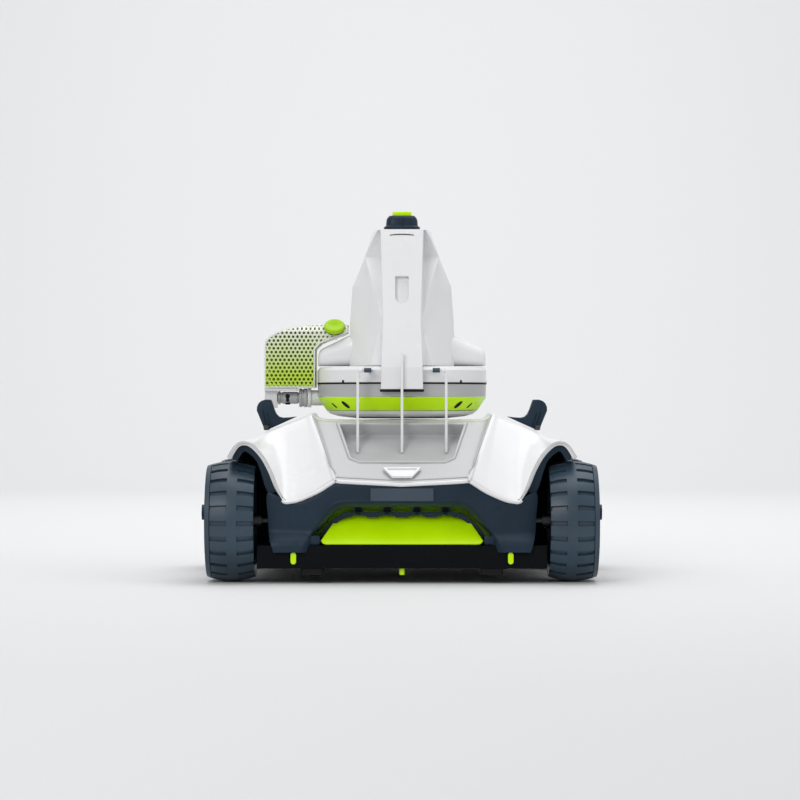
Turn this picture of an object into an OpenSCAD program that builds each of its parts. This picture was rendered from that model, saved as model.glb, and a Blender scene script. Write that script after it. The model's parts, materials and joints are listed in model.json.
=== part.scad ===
// Wheeled pool cleaner: four-wheel chassis, sloping cover with wheel fenders, round pump turret,
// leaning mast with a quick-release cap, and a side mesh basket on a twist coupling.
// Front is -Y, up is +Z, and the origin is on the ground under the middle of the wheelbase.

/* [Wheels] */
// Outer radius of a tyre
wheel_r = 60; // [56:1:60]
// Radius where the tyre meets the rim
rim_r = 44; // [42:0.5:45]
// Distance from the centre plane to a wheel's inner face
wheel_in = 146; // [146:0.5:148]
// Width of a tyre
wheel_w = 48; // [44:1:48]
// Distance of each axle from the middle of the wheelbase
axle_y = 105; // [103:1:107]
// How much the tread's edges drop below its crown
crown_drop = 4.5; // [3:0.5:5]

/* [Cover] */
// Thickness of the cover's wall
cover_t = 2.5; // [2:0.1:3]
// Y of the cover's front lip at the centre
hood_front_y = -150; // [-151:0.5:-150]
// Y where the front slope reaches the deck
hood_top_y = -70; // [-71:0.5:-69]
// Y where the rear slope leaves the deck
tail_top_y = 88; // [88:1:92]
// Y of the cover's rear lip at the centre
tail_end_y = 148; // [147:1:149]
// How far the lip sweeps back at the fenders
lip_sweep = 10; // [8:0.5:12]

/* [Chassis] */
// Wall thickness of the tub and the bottom plate
tub_t = 3; // [2.5:0.1:3.5]
// Half width of the tub
tub_half = 122; // [121:0.5:123]
// Underside of the bottom plate
base_z = 15; // [14.8:0.1:15.2]
// Top of the bottom plate and underside of the tub
tub_z = 38; // [38:0.1:38.5]
// Half width of the bottom plate between the wheels
base_half = 143; // [141:0.5:143.5]

/* [Turret] */
// Y of the pump axis
turret_y = 10; // [9.5:0.1:10.5]
// Radius of the turret
turret_r = 88; // [87.5:0.1:88]
// Outer radius of the impeller
impeller_r = 33; // [28:1:34]
// Radius of the pump shaft
shaft_r = 3; // [2.5:0.1:3]

/* [Mast] */
// Top of the mast
mast_top_z = 355.5; // [350:0.5:356]

/* [Intake] */
// Tilt of the intake flap from level, when closed
flap_tilt = 46; // [44:0.5:47]
// Length of the intake flap up its slope
flap_len = 32; // [30:0.5:33]

/* [Gears] */
// Teeth on a drive gear
gear_teeth = 36; // [36]
// Teeth on a pinion
pinion_teeth = 12; // [12]
// Tooth size, as pitch diameter over number of teeth
gear_module = 1; // [1]

/* [Hidden] */
$fn = 64;

// Colours
WHITE = "#f0f0f0";
SILVER = "#c8c8ca";
NAVY = "#2f4050";
SLATE = "#4a5664";
BLACK = "#101820";
LIME = "#b4e800";
STEEL = "#a8acb0";

// Clearances
run_gap = 0.05;
part_gap = 0.3;

// Wheels
wheel_out = wheel_in + wheel_w;
axle_r = 4;
axle_z = wheel_r;
bearing_r = 8;
arch_r = wheel_r + 6;

// Cross-sections of the cover, centre to fender, at the front lip and on the deck
LIP = [[0, 98], [60, 101.2], [66, 101.9], [82.6, 91.6], [100, 83.7], [110, 81.2], [117, 81.7],
  [123.5, 92.6], [130.5, 110.3], [138.5, 125], [148.5, 135.9], [157, 138.5], [164, 135], [171, 124]];
DECK = [[0, 161.5], [78, 161.5], [92, 168], [98, 165.6], [105, 162.8], [112, 160], [119, 157.3],
  [127, 154], [134, 151], [141, 147.5], [150, 142.5], [158, 140.5], [166, 136.5], [173, 125]];
STATIONS = [-150, -140, -130, -120, -110, -100, -90, -80, -70, 0, 88, 100, 112, 124, 136, 148];
tail_rise = 0.25;

// Front slope, as a plane
slope_a = atan2(DECK[0].y - LIP[0].y, hood_top_y - hood_front_y);
recess_d = 14;

// Turret levels
bowl_z = 162;
ring_z = 170.2;
mid_z = 184.5;
gasket_z = 197.3;
shell_z = 199;
shell_top_z = 215.5;
inlet_r = 30;

// Outlet line to the basket
port_z = 183.3;
port_y = turret_y;
pipe_r = 4.4;

// Flap hinge
hinge_y = -138;
hinge_z = 41.5;
hinge_r = 3;
pin_r = 1.5;

// Lever pivot
lever_x = 139;
lever_z = 152.5;
lever_y0 = -40;
lever_w = 18;

// Gears
gear_pitch_r = gear_module * gear_teeth / 2;
pinion_pitch_r = gear_module * pinion_teeth / 2;
pinion_y = axle_y - gear_pitch_r - pinion_pitch_r;
gear_x = 99;
gear_w = 8;

// ---------- helpers ----------

function mix(a, b, s) = a + (b - a) * s;

function cover_s(y) = y < hood_top_y ? (y - hood_front_y) / (hood_top_y - hood_front_y)
  : y > tail_top_y ? 1 - (1 - tail_rise) * (y - tail_top_y) / (tail_end_y - tail_top_y) : 1;

function cover_half(s) = [for (i = [0:len(LIP) - 1]) mix(LIP[i], DECK[i], s)];

// Full outline from the right fender to the left one
function cover_line(s) = let (h = cover_half(s), n = len(h) - 1)
  [for (i = [n:-1:1]) h[i], for (p = h) [-p.x, p.y]];

function tangent(l, i) = l[min(i + 1, len(l) - 1)] - l[max(i - 1, 0)];

// The outline moved outward by d
function shifted(l, d) = [for (i = [0:len(l) - 1])
  let (t = tangent(l, i), u = t / norm(t)) l[i] + d * [u.y, -u.x]];

function swept(x, y, s) = y + (y < 0 ? 1 : -1) * lip_sweep * (1 - s) * pow(min(abs(x), 130) / 130, 2);

// Ring at station y, from the outline shifted by d1 to the one shifted by d2
function band(y, s, l, d1, d2) = concat(
  [for (p = shifted(l, d1)) [p.x, swept(p.x, y, s), p.y]],
  let (q = shifted(l, d2)) [for (i = [len(q) - 1:-1:0]) [q[i].x, swept(q[i].x, y, s), q[i].y]]);

// Closed solid through rings of equal length that run along Y as a thin band
module band_loft(rings) {
  n = len(rings[0]);
  m = len(rings) - 1;
  half = n / 2;
  sides = [for (k = [0:m - 1], i = [0:n - 1]) let (j = (i + 1) % n)
    each [[k * n + i, k * n + j, (k + 1) * n + j], [k * n + i, (k + 1) * n + j, (k + 1) * n + i]]];
  caps = [for (i = [0:half - 2]) let (j = n - 1 - i)
    each [[i, j, i + 1], [i + 1, j, j - 1],
      [m * n + i, m * n + i + 1, m * n + j], [m * n + i + 1, m * n + j - 1, m * n + j]]];
  polyhedron(points = [for (r = rings) each r], faces = concat(sides, caps), convexity = 6);
}

// Closed solid through level rings of equal length, from the lowest up
module tower_loft(rings) {
  n = len(rings[0]);
  m = len(rings) - 1;
  sides = [for (k = [0:m - 1], i = [0:n - 1]) let (j = (i + 1) % n)
    each [[k * n + i, (k + 1) * n + j, k * n + j], [k * n + i, (k + 1) * n + i, (k + 1) * n + j]]];
  bottom = [[for (i = [0:n - 1]) i]];
  top = [[for (i = [n - 1:-1:0]) m * n + i]];
  polyhedron(points = [for (r = rings) each r], faces = concat(sides, bottom, top), convexity = 4);
}

// Extrudes an X-Z outline from y0 to y1
module along_y(y0, y1) {
  translate([0, y1, 0]) rotate([90, 0, 0]) linear_extrude(height = y1 - y0) children();
}

module along_x(x0, r, y, z, len) {
  translate([x0, y, z]) rotate([0, 90, 0]) cylinder(r = r, h = len);
}

module box(lo, hi) {
  translate(lo) cube(hi - lo);
}

// Puts children on the front slope: X stays, Y runs up the slope, Z stands off it
module on_slope() {
  translate([0, hood_front_y, LIP[0].y]) rotate([slope_a, 0, 0]) children();
}

module rounded_slab(w, d, h, r) {
  for (sx = [-1, 1], sy = [-1, 1]) {
    translate([sx * (w / 2 - r), sy * (d / 2 - r), 0]) cylinder(r = r, h = h);
  }
  translate([-w / 2, -d / 2 + r, 0]) cube([w, d - 2 * r, h]);
  translate([-w / 2 + r, -d / 2, 0]) cube([w - 2 * r, d, h]);
}

module both_sides() {
  children();
  mirror([1, 0, 0]) children();
}

// ---------- cover and panels ----------

module recess_outline(grow) {
  polygon([[-40 - grow, 33.5 - grow], [40 + grow, 33.5 - grow], [50 + grow, 40 - grow],
    [63.5 + grow, 91 + grow], [-63.5 - grow, 91 + grow], [-50 - grow, 40 - grow]]);
}

module top_cover() {
  color(WHITE) difference() {
    band_loft([for (y = STATIONS) let (s = cover_s(y)) band(y, s, cover_line(s), 0, -cover_t)]);
    on_slope() translate([0, 0, -10]) linear_extrude(height = 20) recess_outline(3);
    translate([0, turret_y, 150]) cylinder(r = inlet_r + 1, h = 20);
  }
}

module deck_panel() {
  panel_pts = 2;
  color(SILVER) difference() {
    union() {
      band_loft([for (y = [-147, -130, -110, -90, -73]) let (s = cover_s(y), h = cover_half(s),
        l = [for (i = [panel_pts:-1:1]) h[i], for (i = [0:panel_pts]) [-h[i].x, h[i].y]])
        band(y, s, l, 1.8, 0.35)]);
      on_slope() translate([0, 0, -recess_d]) linear_extrude(height = recess_d + 2) recess_outline(1.8);
    }
    on_slope() translate([0, 0, 1.6 - recess_d]) linear_extrude(height = recess_d + 10) recess_outline(0);
  }
}

module finger_pull() {
  color(WHITE) on_slope() translate([0, 0, 2.8]) difference() {
    linear_extrude(height = 2.6) polygon([[-10, 6], [10, 6], [19, 20], [-19, 20]]);
    translate([0, 0, 1.4]) linear_extrude(height = 2) polygon([[-8.5, 8], [8.5, 8], [15, 18], [-15, 18]]);
  }
}

// ---------- bumpers and intake ----------

// Plan outline of a bumper: the swept front, with depth t
module bumper_plan(y0, t) {
  xs = [for (x = [-130:10:130]) x];
  polygon(concat([for (x = xs) [x, y0 + lip_sweep * pow(x / 130, 2)]],
    [for (i = [len(xs) - 1:-1:0]) [xs[i], y0 + t + lip_sweep * pow(xs[i] / 130, 2)]]));
}

function bumper_face(s) = let (h = cover_half(s), d = cover_t + 1)
  concat([for (i = [0:5]) [h[i].x, h[i].y - d]], [[h[6].x - 1, h[6].y - d]],
    [[127.5, 80], [129, 73], [128, 53], [124, tub_z + 0.5]]);

module mouth_outline(grow) {
  half = [[88 + grow, 30], [86 + grow, 50], [82 + grow, 59], [76 + grow, 67 + grow], [66, 75.5 + grow],
    [56, 77.3 + grow]];
  polygon(concat(half, [for (i = [len(half) - 1:-1:0]) [-half[i].x, half[i].y]]));
}

module bumper_shape(s) {
  f = bumper_face(s);
  polygon(concat(f, [for (i = [len(f) - 1:-1:1]) [-f[i].x, f[i].y]]));
}

// Band that lines the fender's mouth, on the right
module arch_band(s) {
  l = [for (i = [6:12]) cover_half(s)[i]];
  outer = shifted(l, cover_t + 1);
  inner = shifted(l, cover_t + 7);
  polygon(concat(outer, [for (i = [len(inner) - 1:-1:0]) inner[i]]));
}

module bumper(s) {
  intersection() {
    along_y(-152, -120) bumper_shape(s);
    linear_extrude(height = 200) bumper_plan(-148, 10);
  }
  both_sides() along_y(-138, -80) arch_band(s);
}

module front_bumper() {
  color(NAVY) difference() {
    bumper(0);
    along_y(-160, -120) mouth_outline(0);
    // room for the tub
    box([-tub_half - part_gap, -120 - part_gap, tub_z], [tub_half + part_gap, -79, 100]);
  }
}

module rear_bumper() {
  color(NAVY) mirror([0, 1, 0]) bumper(tail_rise);
}

module bumper_plate() {
  color(SLATE) intersection() {
    box([-31, -152, 81.5], [31, -140, 94]);
    linear_extrude(height = 120) bumper_plan(-150.4, 2.2);
  }
}

suction_x = [-43.3, -14.7, 14.7, 43.3];
suction_z = 72.5;

module intake_comb() {
  color(NAVY) along_y(-126, -121) difference() {
    mouth_outline(-3);
    polygon([[-84, 20], [84, 20], [81, 42], [66, 66], [-66, 66], [-81, 42]]);
    for (x = suction_x) translate([x, suction_z - 2]) circle(r = 5.5);
  }
}

module intake_throat() {
  color(LIME) difference() {
    union() {
      along_y(-134, -110) difference() {
        mouth_outline(-0.4);
        mouth_outline(-2.4);
      }
      box([-80, -113, 64], [80, -110, 77]);
      for (x = suction_x) {
        translate([x, -113, 66.6]) cylinder(r1 = 7, r2 = 4.6, h = 8);
      }
    }
    for (x = suction_x) translate([x, -100, suction_z]) rotate([90, 0, 0]) cylinder(r = 3.8, h = 40);
    box([-100, -140, 20], [100, -105, 44]);
  }
}

module intake_flap() {
  color(LIME) translate([0, hinge_y, hinge_z]) difference() {
    union() {
      rotate([flap_tilt, 0, 0]) translate([0, 0, -1.2]) linear_extrude(height = 2.4)
        polygon([[-79, 0], [79, 0], [79, 3], [63.5, flap_len], [-63.5, flap_len], [-79, 3]]);
      along_x(-77, hinge_r, 0, 0, 154);
    }
    along_x(-90, pin_r + run_gap, 0, 0, 180);
  }
}

module flap_pin() {
  color(STEEL) along_x(-86.5, pin_r, hinge_y, hinge_z, 173);
}

// ---------- chassis ----------

module wheel_well(grow) {
  for (y = [-axle_y, axle_y]) translate([-200, y, axle_z]) rotate([0, 90, 0])
    cylinder(r = arch_r + grow, h = 400);
}

module chassis_tub() {
  sponson_x = 165;
  front_y = -120;
  rear_y = 128;
  rim_z = 95;
  color(NAVY) difference() {
    union() {
      difference() {
        box([-tub_half, front_y, tub_z], [tub_half, rear_y, rim_z]);
        box([-tub_half + tub_t, front_y + tub_t, tub_z + tub_t], [tub_half - tub_t, rear_y - tub_t, 200]);
      }
      both_sides() difference() {
        box([tub_half, -axle_y, tub_z], [sponson_x, axle_y, 119]);
        wheel_well(0);
        box([tub_half - 5, -34, tub_z + tub_t], [sponson_x - tub_t, 34, 116]);
      }
    }
    // way in from the mouth, and room for the flap's travel
    box([-92, front_y - 1, 20], [92, -99, 200]);
    // bearing seats
    for (y = [-axle_y, axle_y]) along_x(-130, bearing_r + run_gap, y, axle_z, 260);
  }
}

module bottom_plate() {
  wing_x = 162;
  skirt_y = 146;
  catch_x = 107;
  color(BLACK) difference() {
    union() {
      box([-base_half, -skirt_y, base_z], [base_half, skirt_y, tub_z - 0.4]);
      box([-wing_x, -34, base_z + 5], [wing_x, 34, tub_z - 0.4]);
      // raised pad that rests on a storage dock
      box([-70, -100, base_z - 1], [70, 100, base_z + 1]);
    }
    box([-base_half + tub_t, -skirt_y + tub_t, base_z + tub_t],
      [base_half - tub_t, skirt_y - tub_t, tub_z + 1]);
    for (x = [-catch_x, catch_x]) box([x - 1.9, -skirt_y - 1, 21.5], [x + 1.9, -skirt_y + 5, 34]);
    translate([0, -140, base_z - 1]) cylinder(r = 2.7 + run_gap, h = 8);
  }
}

module catch_pill(x) {
  color(LIME) {
    translate([x, -148.7, 0]) {
      for (z = [22, 28.3]) translate([0, 0, z]) rotate([-90, 0, 0]) cylinder(r = 2.7, h = 2.4);
      box([-2.7, 0, 22], [2.7, 2.4, 28.3]);
    }
    translate([x, -146.4, 25]) rotate([-90, 0, 0]) cylinder(r = 1.6, h = 5);
  }
}

module feet() {
  color(BLACK) for (x = [-88.5, 88.5], y = [-133, 133]) translate([x, y, 8.3])
    rounded_slab(22.5, 24, base_z - 8.3, 3);
}

module drain_plug() {
  color(LIME) translate([0, -140, 8.5]) cylinder(r = 2.7, h = base_z - 8.5 + 2.5);
}

// ---------- wheels and drive ----------

function tread_profile() = let (mid = wheel_in + wheel_w / 2, n = 8)
  [for (i = [-n:n]) [wheel_r - crown_drop * pow(i / n, 2), i * wheel_w / 2 / n + mid]];

module tyre(side, y) {
  color(NAVY) translate([0, y, axle_z]) mirror([side > 0 ? 0 : 1, 0, 0])
    rotate([0, 90, 0]) rotate_extrude($fn = 96)
      polygon(concat([[rim_r, wheel_in + 1]], tread_profile(), [[rim_r, wheel_out - 1]]));
}

module rim(side, y) {
  holes = 6;
  hub_out = wheel_out - 6;
  color(SLATE) translate([0, y, axle_z]) mirror([side > 0 ? 0 : 1, 0, 0]) rotate([0, 90, 0]) difference() {
    rotate_extrude($fn = 96) polygon([[axle_r + run_gap, wheel_in + 3], [13, wheel_in + 3],
      [15, wheel_in + 14], [rim_r - 4, wheel_in + 12], [rim_r - 4, wheel_in + 2],
      [rim_r - run_gap, wheel_in + 2],
      [rim_r - run_gap, wheel_out - 2], [rim_r - 4, wheel_out - 2], [rim_r - 6, wheel_in + 18],
      [16, wheel_in + 20], [13, hub_out], [axle_r + run_gap, hub_out]]);
    for (i = [0:holes - 1]) rotate([0, 0, i * 360 / holes]) translate([27, 0, wheel_in])
      cylinder(r = 7, h = wheel_w);
  }
}

module stub_axle(side) {
  color(STEEL) mirror([side > 0 ? 0 : 1, 0, 0]) {
    along_x(112, axle_r, -axle_y, axle_z, wheel_out - 5.5 - 112);
    along_x(wheel_out - 5.7, 8, -axle_y, axle_z, 2.5);
    along_x(140, 7, -axle_y, axle_z, 8.5);
  }
}

// Straight-sided gear with n teeth whose axis is X
module spur(n, x0, turn) {
  pitch_r = gear_module * n / 2;
  root_r = pitch_r - 1.15 * gear_module;
  tip_r = pitch_r + 0.8 * gear_module;
  step = 360 / n;
  base_a = 0.30 * step;
  tip_a = 0.13 * step;
  translate([x0, 0, 0]) rotate([0, 90, 0]) rotate([0, 0, turn]) linear_extrude(height = gear_w)
    polygon([for (i = [0:n - 1], p = [[root_r, -base_a], [tip_r, -tip_a], [tip_r, tip_a], [root_r, base_a]])
      let (a = i * step + p.y) p.x * [cos(a), sin(a)]]);
}

module drive_axle(side) {
  color(STEEL) mirror([side > 0 ? 0 : 1, 0, 0]) {
    along_x(96, axle_r, axle_y, axle_z, 206 - 96);
    translate([0, axle_y, axle_z]) spur(gear_teeth, gear_x, 0);
  }
}

module pinion(side) {
  color(STEEL) mirror([side > 0 ? 0 : 1, 0, 0]) {
    along_x(84, 1.5, pinion_y, axle_z, gear_x + gear_w - 84);
    translate([0, pinion_y, axle_z]) spur(pinion_teeth, gear_x, 180 / pinion_teeth);
  }
}

module wheel_nut(side) {
  nut_out = 215.5;
  color(NAVY) mirror([side > 0 ? 0 : 1, 0, 0]) difference() {
    union() {
      along_x(wheel_out - 5.5, 12, axle_y, axle_z, 3);
      along_x(wheel_out - 3, 8.3, axle_y, axle_z, nut_out - wheel_out + 3);
    }
    along_x(wheel_out - 8, axle_r + run_gap, axle_y, axle_z, 20.5);
  }
}

module axle_bearings() {
  color(STEEL) for (sx = [-1, 1], y = [-axle_y, axle_y]) translate([sx * 120.5, y, axle_z])
    rotate([0, 90, 0]) difference() {
      cylinder(r = bearing_r, h = 7, center = true);
      cylinder(r = axle_r + run_gap, h = 9, center = true);
    }
}

module drive_motors() {
  color(STEEL) both_sides() difference() {
    union() {
      along_x(42, 13, pinion_y, axle_z, 48);
      along_x(90, 6, pinion_y, axle_z, 3);
    }
    along_x(80, 1.5 + run_gap, pinion_y, axle_z, 20);
  }
}

module battery_pack() {
  color(SLATE) box([-60, -20, tub_z + tub_t + 0.2], [60, 58, 92]);
}

module control_board() {
  color("darkgreen") {
    box([68, -30, 52], [114, 50, 53.6]);
    box([76, -10, 53.6], [90, 6, 57]);
    box([96, 16, 53.6], [108, 32, 56]);
  }
}

module screws() {
  color(STEEL) {
    for (x = [-118, 118], y = [-110, 0, 110]) translate([x, y, base_z - 2.2]) cylinder(r = 3.4, h = 2.2);
    for (x = [-25, 25]) translate([x, -8, mast_top_z]) cylinder(r = 1.8, h = 1);
  }
}

// ---------- turret ----------

module turned(points) {
  translate([0, turret_y, 0]) rotate_extrude($fn = 128) polygon(points);
}

module port_bore(r) {
  along_x(-100, r, port_y, port_z, 30);
}

module base_bowl() {
  color(WHITE) turned([[inlet_r, bowl_z], [46, bowl_z], [66, 164.2], [74, 166.6], [79, 170],
    [76, 170], [72, 168], [64, 166.2], [46, 164.5], [inlet_r, 164.5]]);
}

module jet_ring() {
  jets = [-58, -44, 44, 58, 122, 136, 224, 238];
  color(LIME) difference() {
    turned([[74, ring_z], [79, ring_z], [turret_r, mid_z - 0.2], [66, mid_z - 0.2], [66, mid_z - 2.5],
      [82.5, mid_z - 2.5], [75.5, 172.5], [74, 172.5]]);
    for (a = jets) translate([0, turret_y, 176.5]) rotate([0, 0, a]) rotate([90, 0, 0])
      translate([0, 0, 70]) cylinder(r = 3.2, h = 20);
    port_bore(8 + part_gap);
  }
}

module mid_ring() {
  color(SILVER) difference() {
    turned([[12 + run_gap, mid_z], [turret_r - 0.6, mid_z], [turret_r - 0.2, gasket_z],
      [turret_r - 4, gasket_z], [turret_r - 4, mid_z + 3], [12 + run_gap, mid_z + 3]]);
    port_bore(8 + part_gap);
  }
}

module gasket_ring() {
  color(BLACK) turned([[80, gasket_z], [turret_r + 0.2, gasket_z], [turret_r + 0.2, shell_z],
    [80, shell_z]]);
}

module turret_shell() {
  color(WHITE) turned([[34, shell_top_z - 3], [turret_r - 4, shell_top_z - 4], [turret_r - 4, shell_z],
    [turret_r, shell_z], [turret_r, shell_top_z - 4], [turret_r - 3, shell_top_z - 0.8],
    [turret_r - 8, shell_top_z], [34, shell_top_z]]);
}

module shaft_seal() {
  color(BLACK) turned([[shaft_r + run_gap, mid_z - 1], [12, mid_z - 1], [12, mid_z + 3],
    [shaft_r + run_gap, mid_z + 3]]);
}

module pump_motor() {
  color(STEEL) turned([[shaft_r + run_gap, 188.2], [24, 188.2], [24, 262], [0, 262], [0, 208],
    [shaft_r + run_gap, 208]]);
}

module impeller() {
  blades = 6;
  color(SLATE) {
    translate([0, turret_y, 167]) cylinder(r = shaft_r, h = 40);
    translate([0, turret_y, 167]) {
      cylinder(r = 9, h = 14);
      translate([0, 0, 12]) cylinder(r = impeller_r, h = 2);
      for (i = [0:blades - 1]) rotate([0, 0, i * 360 / blades]) translate([7, -1, 2])
        cube([impeller_r - 8, 2, 11]);
    }
  }
}

// ---------- mast ----------

// Mast sections: height, then front half width and Y, crease, widest point, rear
MAST = [
  [215.9, 21.5, -79, 32, -64, 54.4, -14, 42, 66],
  [247, 20.5, -70.7, 25, -60, 54.4, -10, 38, 58],
  [263, 18.9, -66.5, 20.5, -62, 53.6, -8, 35, 53],
  [298, 20, -57.2, 29.2, -42, 51.2, -6, 30, 43],
  [328.5, 21.2, -49.2, 38.4, -24, 38.8, -6, 24, 34],
  [355.5, 21.8, -42, 25, -34, 29.5, -8, 19, 26]];

// Plan ring of the mast at section m, drawn in by wall t: the front is slightly dished, the rear crowned
function mast_ring(m, t, z) = let (
    h = [[0, m[2] + t + 0.5], [m[1] - t, m[2] + t], [m[3] - t, m[4] + t * 0.5], [m[5] - t, m[6]],
      [m[5] - t, m[6] + 14], [m[7] - t, m[8] - t - 6], [m[7] * 0.5, m[8] - t], [0, m[8] - t + 1]])
  concat([for (p = h) [p.x, p.y, z]], [for (i = [len(h) - 2:-1:1]) [-h[i].x, h[i].y, z]]);

// Tapered drum that sticks out of the mast's foot, level along its underside: X, radius
POD = [[30, 17], [84.4, 8.6], [86.9, 6.4]];

module shoulder_pod() {
  sides = 20;
  floor_z = 216.4;
  tower_loft([for (p = POD) let (r = p.y, mid_z = floor_z + (p == POD[2] ? POD[1].y : r))
    [for (i = [0:sides - 1]) let (a = (i + 0.5) * 360 / sides) [p.x, 4 + r * cos(a), mid_z + r * sin(a)]]]);
}

module mast_shell() {
  wall = 3;
  last = len(MAST) - 1;
  color(WHITE) difference() {
    union() {
      tower_loft([for (m = MAST) mast_ring(m, 0, m[0])]);
      both_sides() shoulder_pod();
    }
    tower_loft([for (i = [0:last]) mast_ring(MAST[i], wall,
      i == 0 ? MAST[i][0] - 1 : i == last ? MAST[i][0] - wall : MAST[i][0])]);
    translate([0, -10, mast_top_z - 5]) cylinder(r = 12 + part_gap, h = 10);
  }
}

// Front strip: height, half width and front Y
SPINE = [[192, 21.3, -84.2], [214, 20.9, -84.2], [222, 20.6, -82.3], [263, 19.1, -71.4],
  [355.5, 21.8, -46.9]];

module spine_cover() {
  t = 4.6;
  pocket = [6.7, 22];
  color(WHITE) difference() {
    tower_loft([for (p = SPINE)
      [[-p.y, p.z, p.x], [p.y, p.z, p.x], [p.y, p.z + t, p.x], [-p.y, p.z + t, p.x]]]);
    translate([0, -70, 287]) rotate([-15, 0, 0]) {
      box([-pocket.x, -5, 0], [pocket.x, 10.5, pocket.y]);
      translate([0, 10.5, 0]) rotate([90, 0, 0]) cylinder(r = pocket.x, h = 15);
    }
  }
}

module top_cap() {
  color(NAVY) translate([0, -10, mast_top_z]) difference() {
    union() {
      translate([0, 0, -8]) cylinder(r = 12, h = 9);
      translate([0, 0, 0.4]) rounded_slab(37.5, 48, 4, 6);
      rounded_slab(32.4, 43, 12, 5);
      translate([0, 0, 12]) rounded_slab(27, 37.6, 3.4, 4);
    }
    translate([-10.1, -14.3, 8]) cube([20.2, 28.6, 12]);
  }
}

module release_tab() {
  color(LIME) translate([-9.8, -24, mast_top_z + 11.2]) cube([19.6, 28, 9]);
}

// ---------- outlet and basket ----------

basket_left = -142.7;
basket_right = -89.8;
basket_top = 259.6;
basket_low = 193.6;
basket_y0 = -7;
basket_y1 = 57;
basket_bend_z = 237;
knob_at = [-70, -3, 255.5];
knob_tilt = 40;

// X-Z outline of the basket, drawn in by g
function basket_line(g) = let (cx = -84, ra = cx - basket_left - g, rb = basket_top - basket_bend_z - g)
  concat([[basket_left + g, basket_low + g]],
    [for (a = [180:-10:90]) [cx + ra * cos(a), basket_bend_z + rb * sin(a)]],
    [[-56 - g, basket_top - g], [-56 - g, 250.5 + g], [-84.5 - g, 239.3 + g * 0.8],
      [basket_right - g, 234], [basket_right - g, basket_low + g]]);

module basket_solid(g) {
  difference() {
    along_y(basket_y0 + g, basket_y1 - g) polygon(basket_line(g));
    translate(knob_at) rotate([knob_tilt, 0, 0]) translate([-100, -40, -g]) cube([200, 100, 40]);
  }
}

module mesh_basket() {
  color(LIME) difference() {
    basket_solid(0);
    basket_solid(2);
    translate(knob_at) rotate([knob_tilt, 0, 0]) cylinder(r = 3 + part_gap, h = 20, center = true);
    translate([-136, port_y, basket_low - 1]) cylinder(r = 4, h = 5);
  }
}

// X-Z outline of the liner bag inside the basket, drawn in by g
function liner_line(g) = let (cx = -96, ra = cx - basket_left - g, rb = basket_top - basket_bend_z - g)
  concat([[basket_left + g, basket_low + g]],
    [for (a = [180:-10:90]) [cx + ra * cos(a), basket_bend_z + rb * sin(a)]],
    [[basket_right - g, basket_top - g - 3], [basket_right - g, basket_low + g]]);

module basket_liner() {
  outer_gap = 5;
  inner_gap = 6.2;
  color(WHITE) difference() {
    along_y(basket_y0 + 12, basket_y1 - outer_gap) polygon(liner_line(outer_gap));
    along_y(basket_y0 + 13.2, basket_y1 - inner_gap) polygon(liner_line(inner_gap));
    translate([-132, port_y + 12, basket_low]) cylinder(r = 4, h = 10);
  }
}

module basket_knob() {
  color(LIME) translate(knob_at) rotate([knob_tilt, 0, 0]) {
    translate([0, 0, -3.5]) cylinder(r = 3, h = 4);
    translate([0, 0, 0.3]) cylinder(r = 10.4, h = 1.6);
    translate([0, 0, 1.9]) cylinder(r = 10.9, h = 2.6);
    translate([0, 0, 4.5]) cylinder(r1 = 10.9, r2 = 9, h = 1.5);
  }
}

module outlet_port() {
  color(WHITE) difference() {
    union() {
      along_x(-96, 8, port_y, port_z, 14);
      along_x(-98, 10, port_y, port_z, 3.4);
      along_x(-129.6, pipe_r, port_y, port_z, 34);
    }
    along_x(-131, pipe_r - 1.2, port_y, port_z, 60);
  }
}

module coupling_collar() {
  color(SILVER) difference() {
    union() {
      along_x(-129, 6.4, port_y, port_z, 24);
      along_x(-107, 9.8, port_y, port_z, 8.6);
      along_x(-129, 6.8, port_y, port_z, 2.4);
    }
    along_x(-131, pipe_r + run_gap, port_y, port_z, 40);
  }
}

module outlet_elbow() {
  color(WHITE) difference() {
    union() {
      box([-142.5, port_y - 9, 173], [-129.8, port_y + 9, 190.6]);
      box([-142.5, basket_y0 + 2, 190.4], [-109, basket_y1 - 2, basket_low - 0.3]);
    }
    along_x(-136, 3.2, port_y, port_z, 10);
    translate([-136, port_y, port_z]) cylinder(r = 3.2, h = 20);
  }
}

// ---------- fins, levers ----------

module guide_fins() {
  fin_t = 2.6;
  blade = [[-94, 128], [-87, 133.6], [-85.2, 150], [-85.2, 209], [-90.5, 209]];
  tall_blade = [[-94, 128], [-87, 133.6], [-85.2, 150], [-85.2, 229], [-88, 229]];
  color(WHITE) {
    for (x = [-44.5, 0, 44.5]) translate([x - fin_t / 2, 0, 0]) rotate([90, 0, 90])
      linear_extrude(height = fin_t) polygon(x == 0 ? tall_blade : blade);
    for (sx = [-1, 1]) {
      translate([sx * 41.5, -88, 211]) sphere(r = 2.8);
      translate([sx * 41.5 - 1.4, -89.4, 206]) cube([2.8, 2.8, 5]);
      translate([sx * 41.5 + (sx > 0 ? 0 : -3), -89.4, 204]) cube([3, 2.8, 3]);
    }
  }
}

module fin_brackets() {
  color(SLATE) both_sides() {
    along_x(31, 2.4, -88, 211, 7.2);
    box([31, -88, 209.2], [35, -72.4, 212.8]);
  }
}

function lever_points() = [[107.5, 164.2], [124.5, 162.6], [129.8, 166.5], [134, 181.4], [140.5, 181.4],
  [145, 179.6], [148.2, 175.6], [148.9, 170.6], [141.9, 153.5], [141.9, 152], [140.8, 150.2],
  [138.6, 149.6], [136.2, 151.4]];

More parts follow.
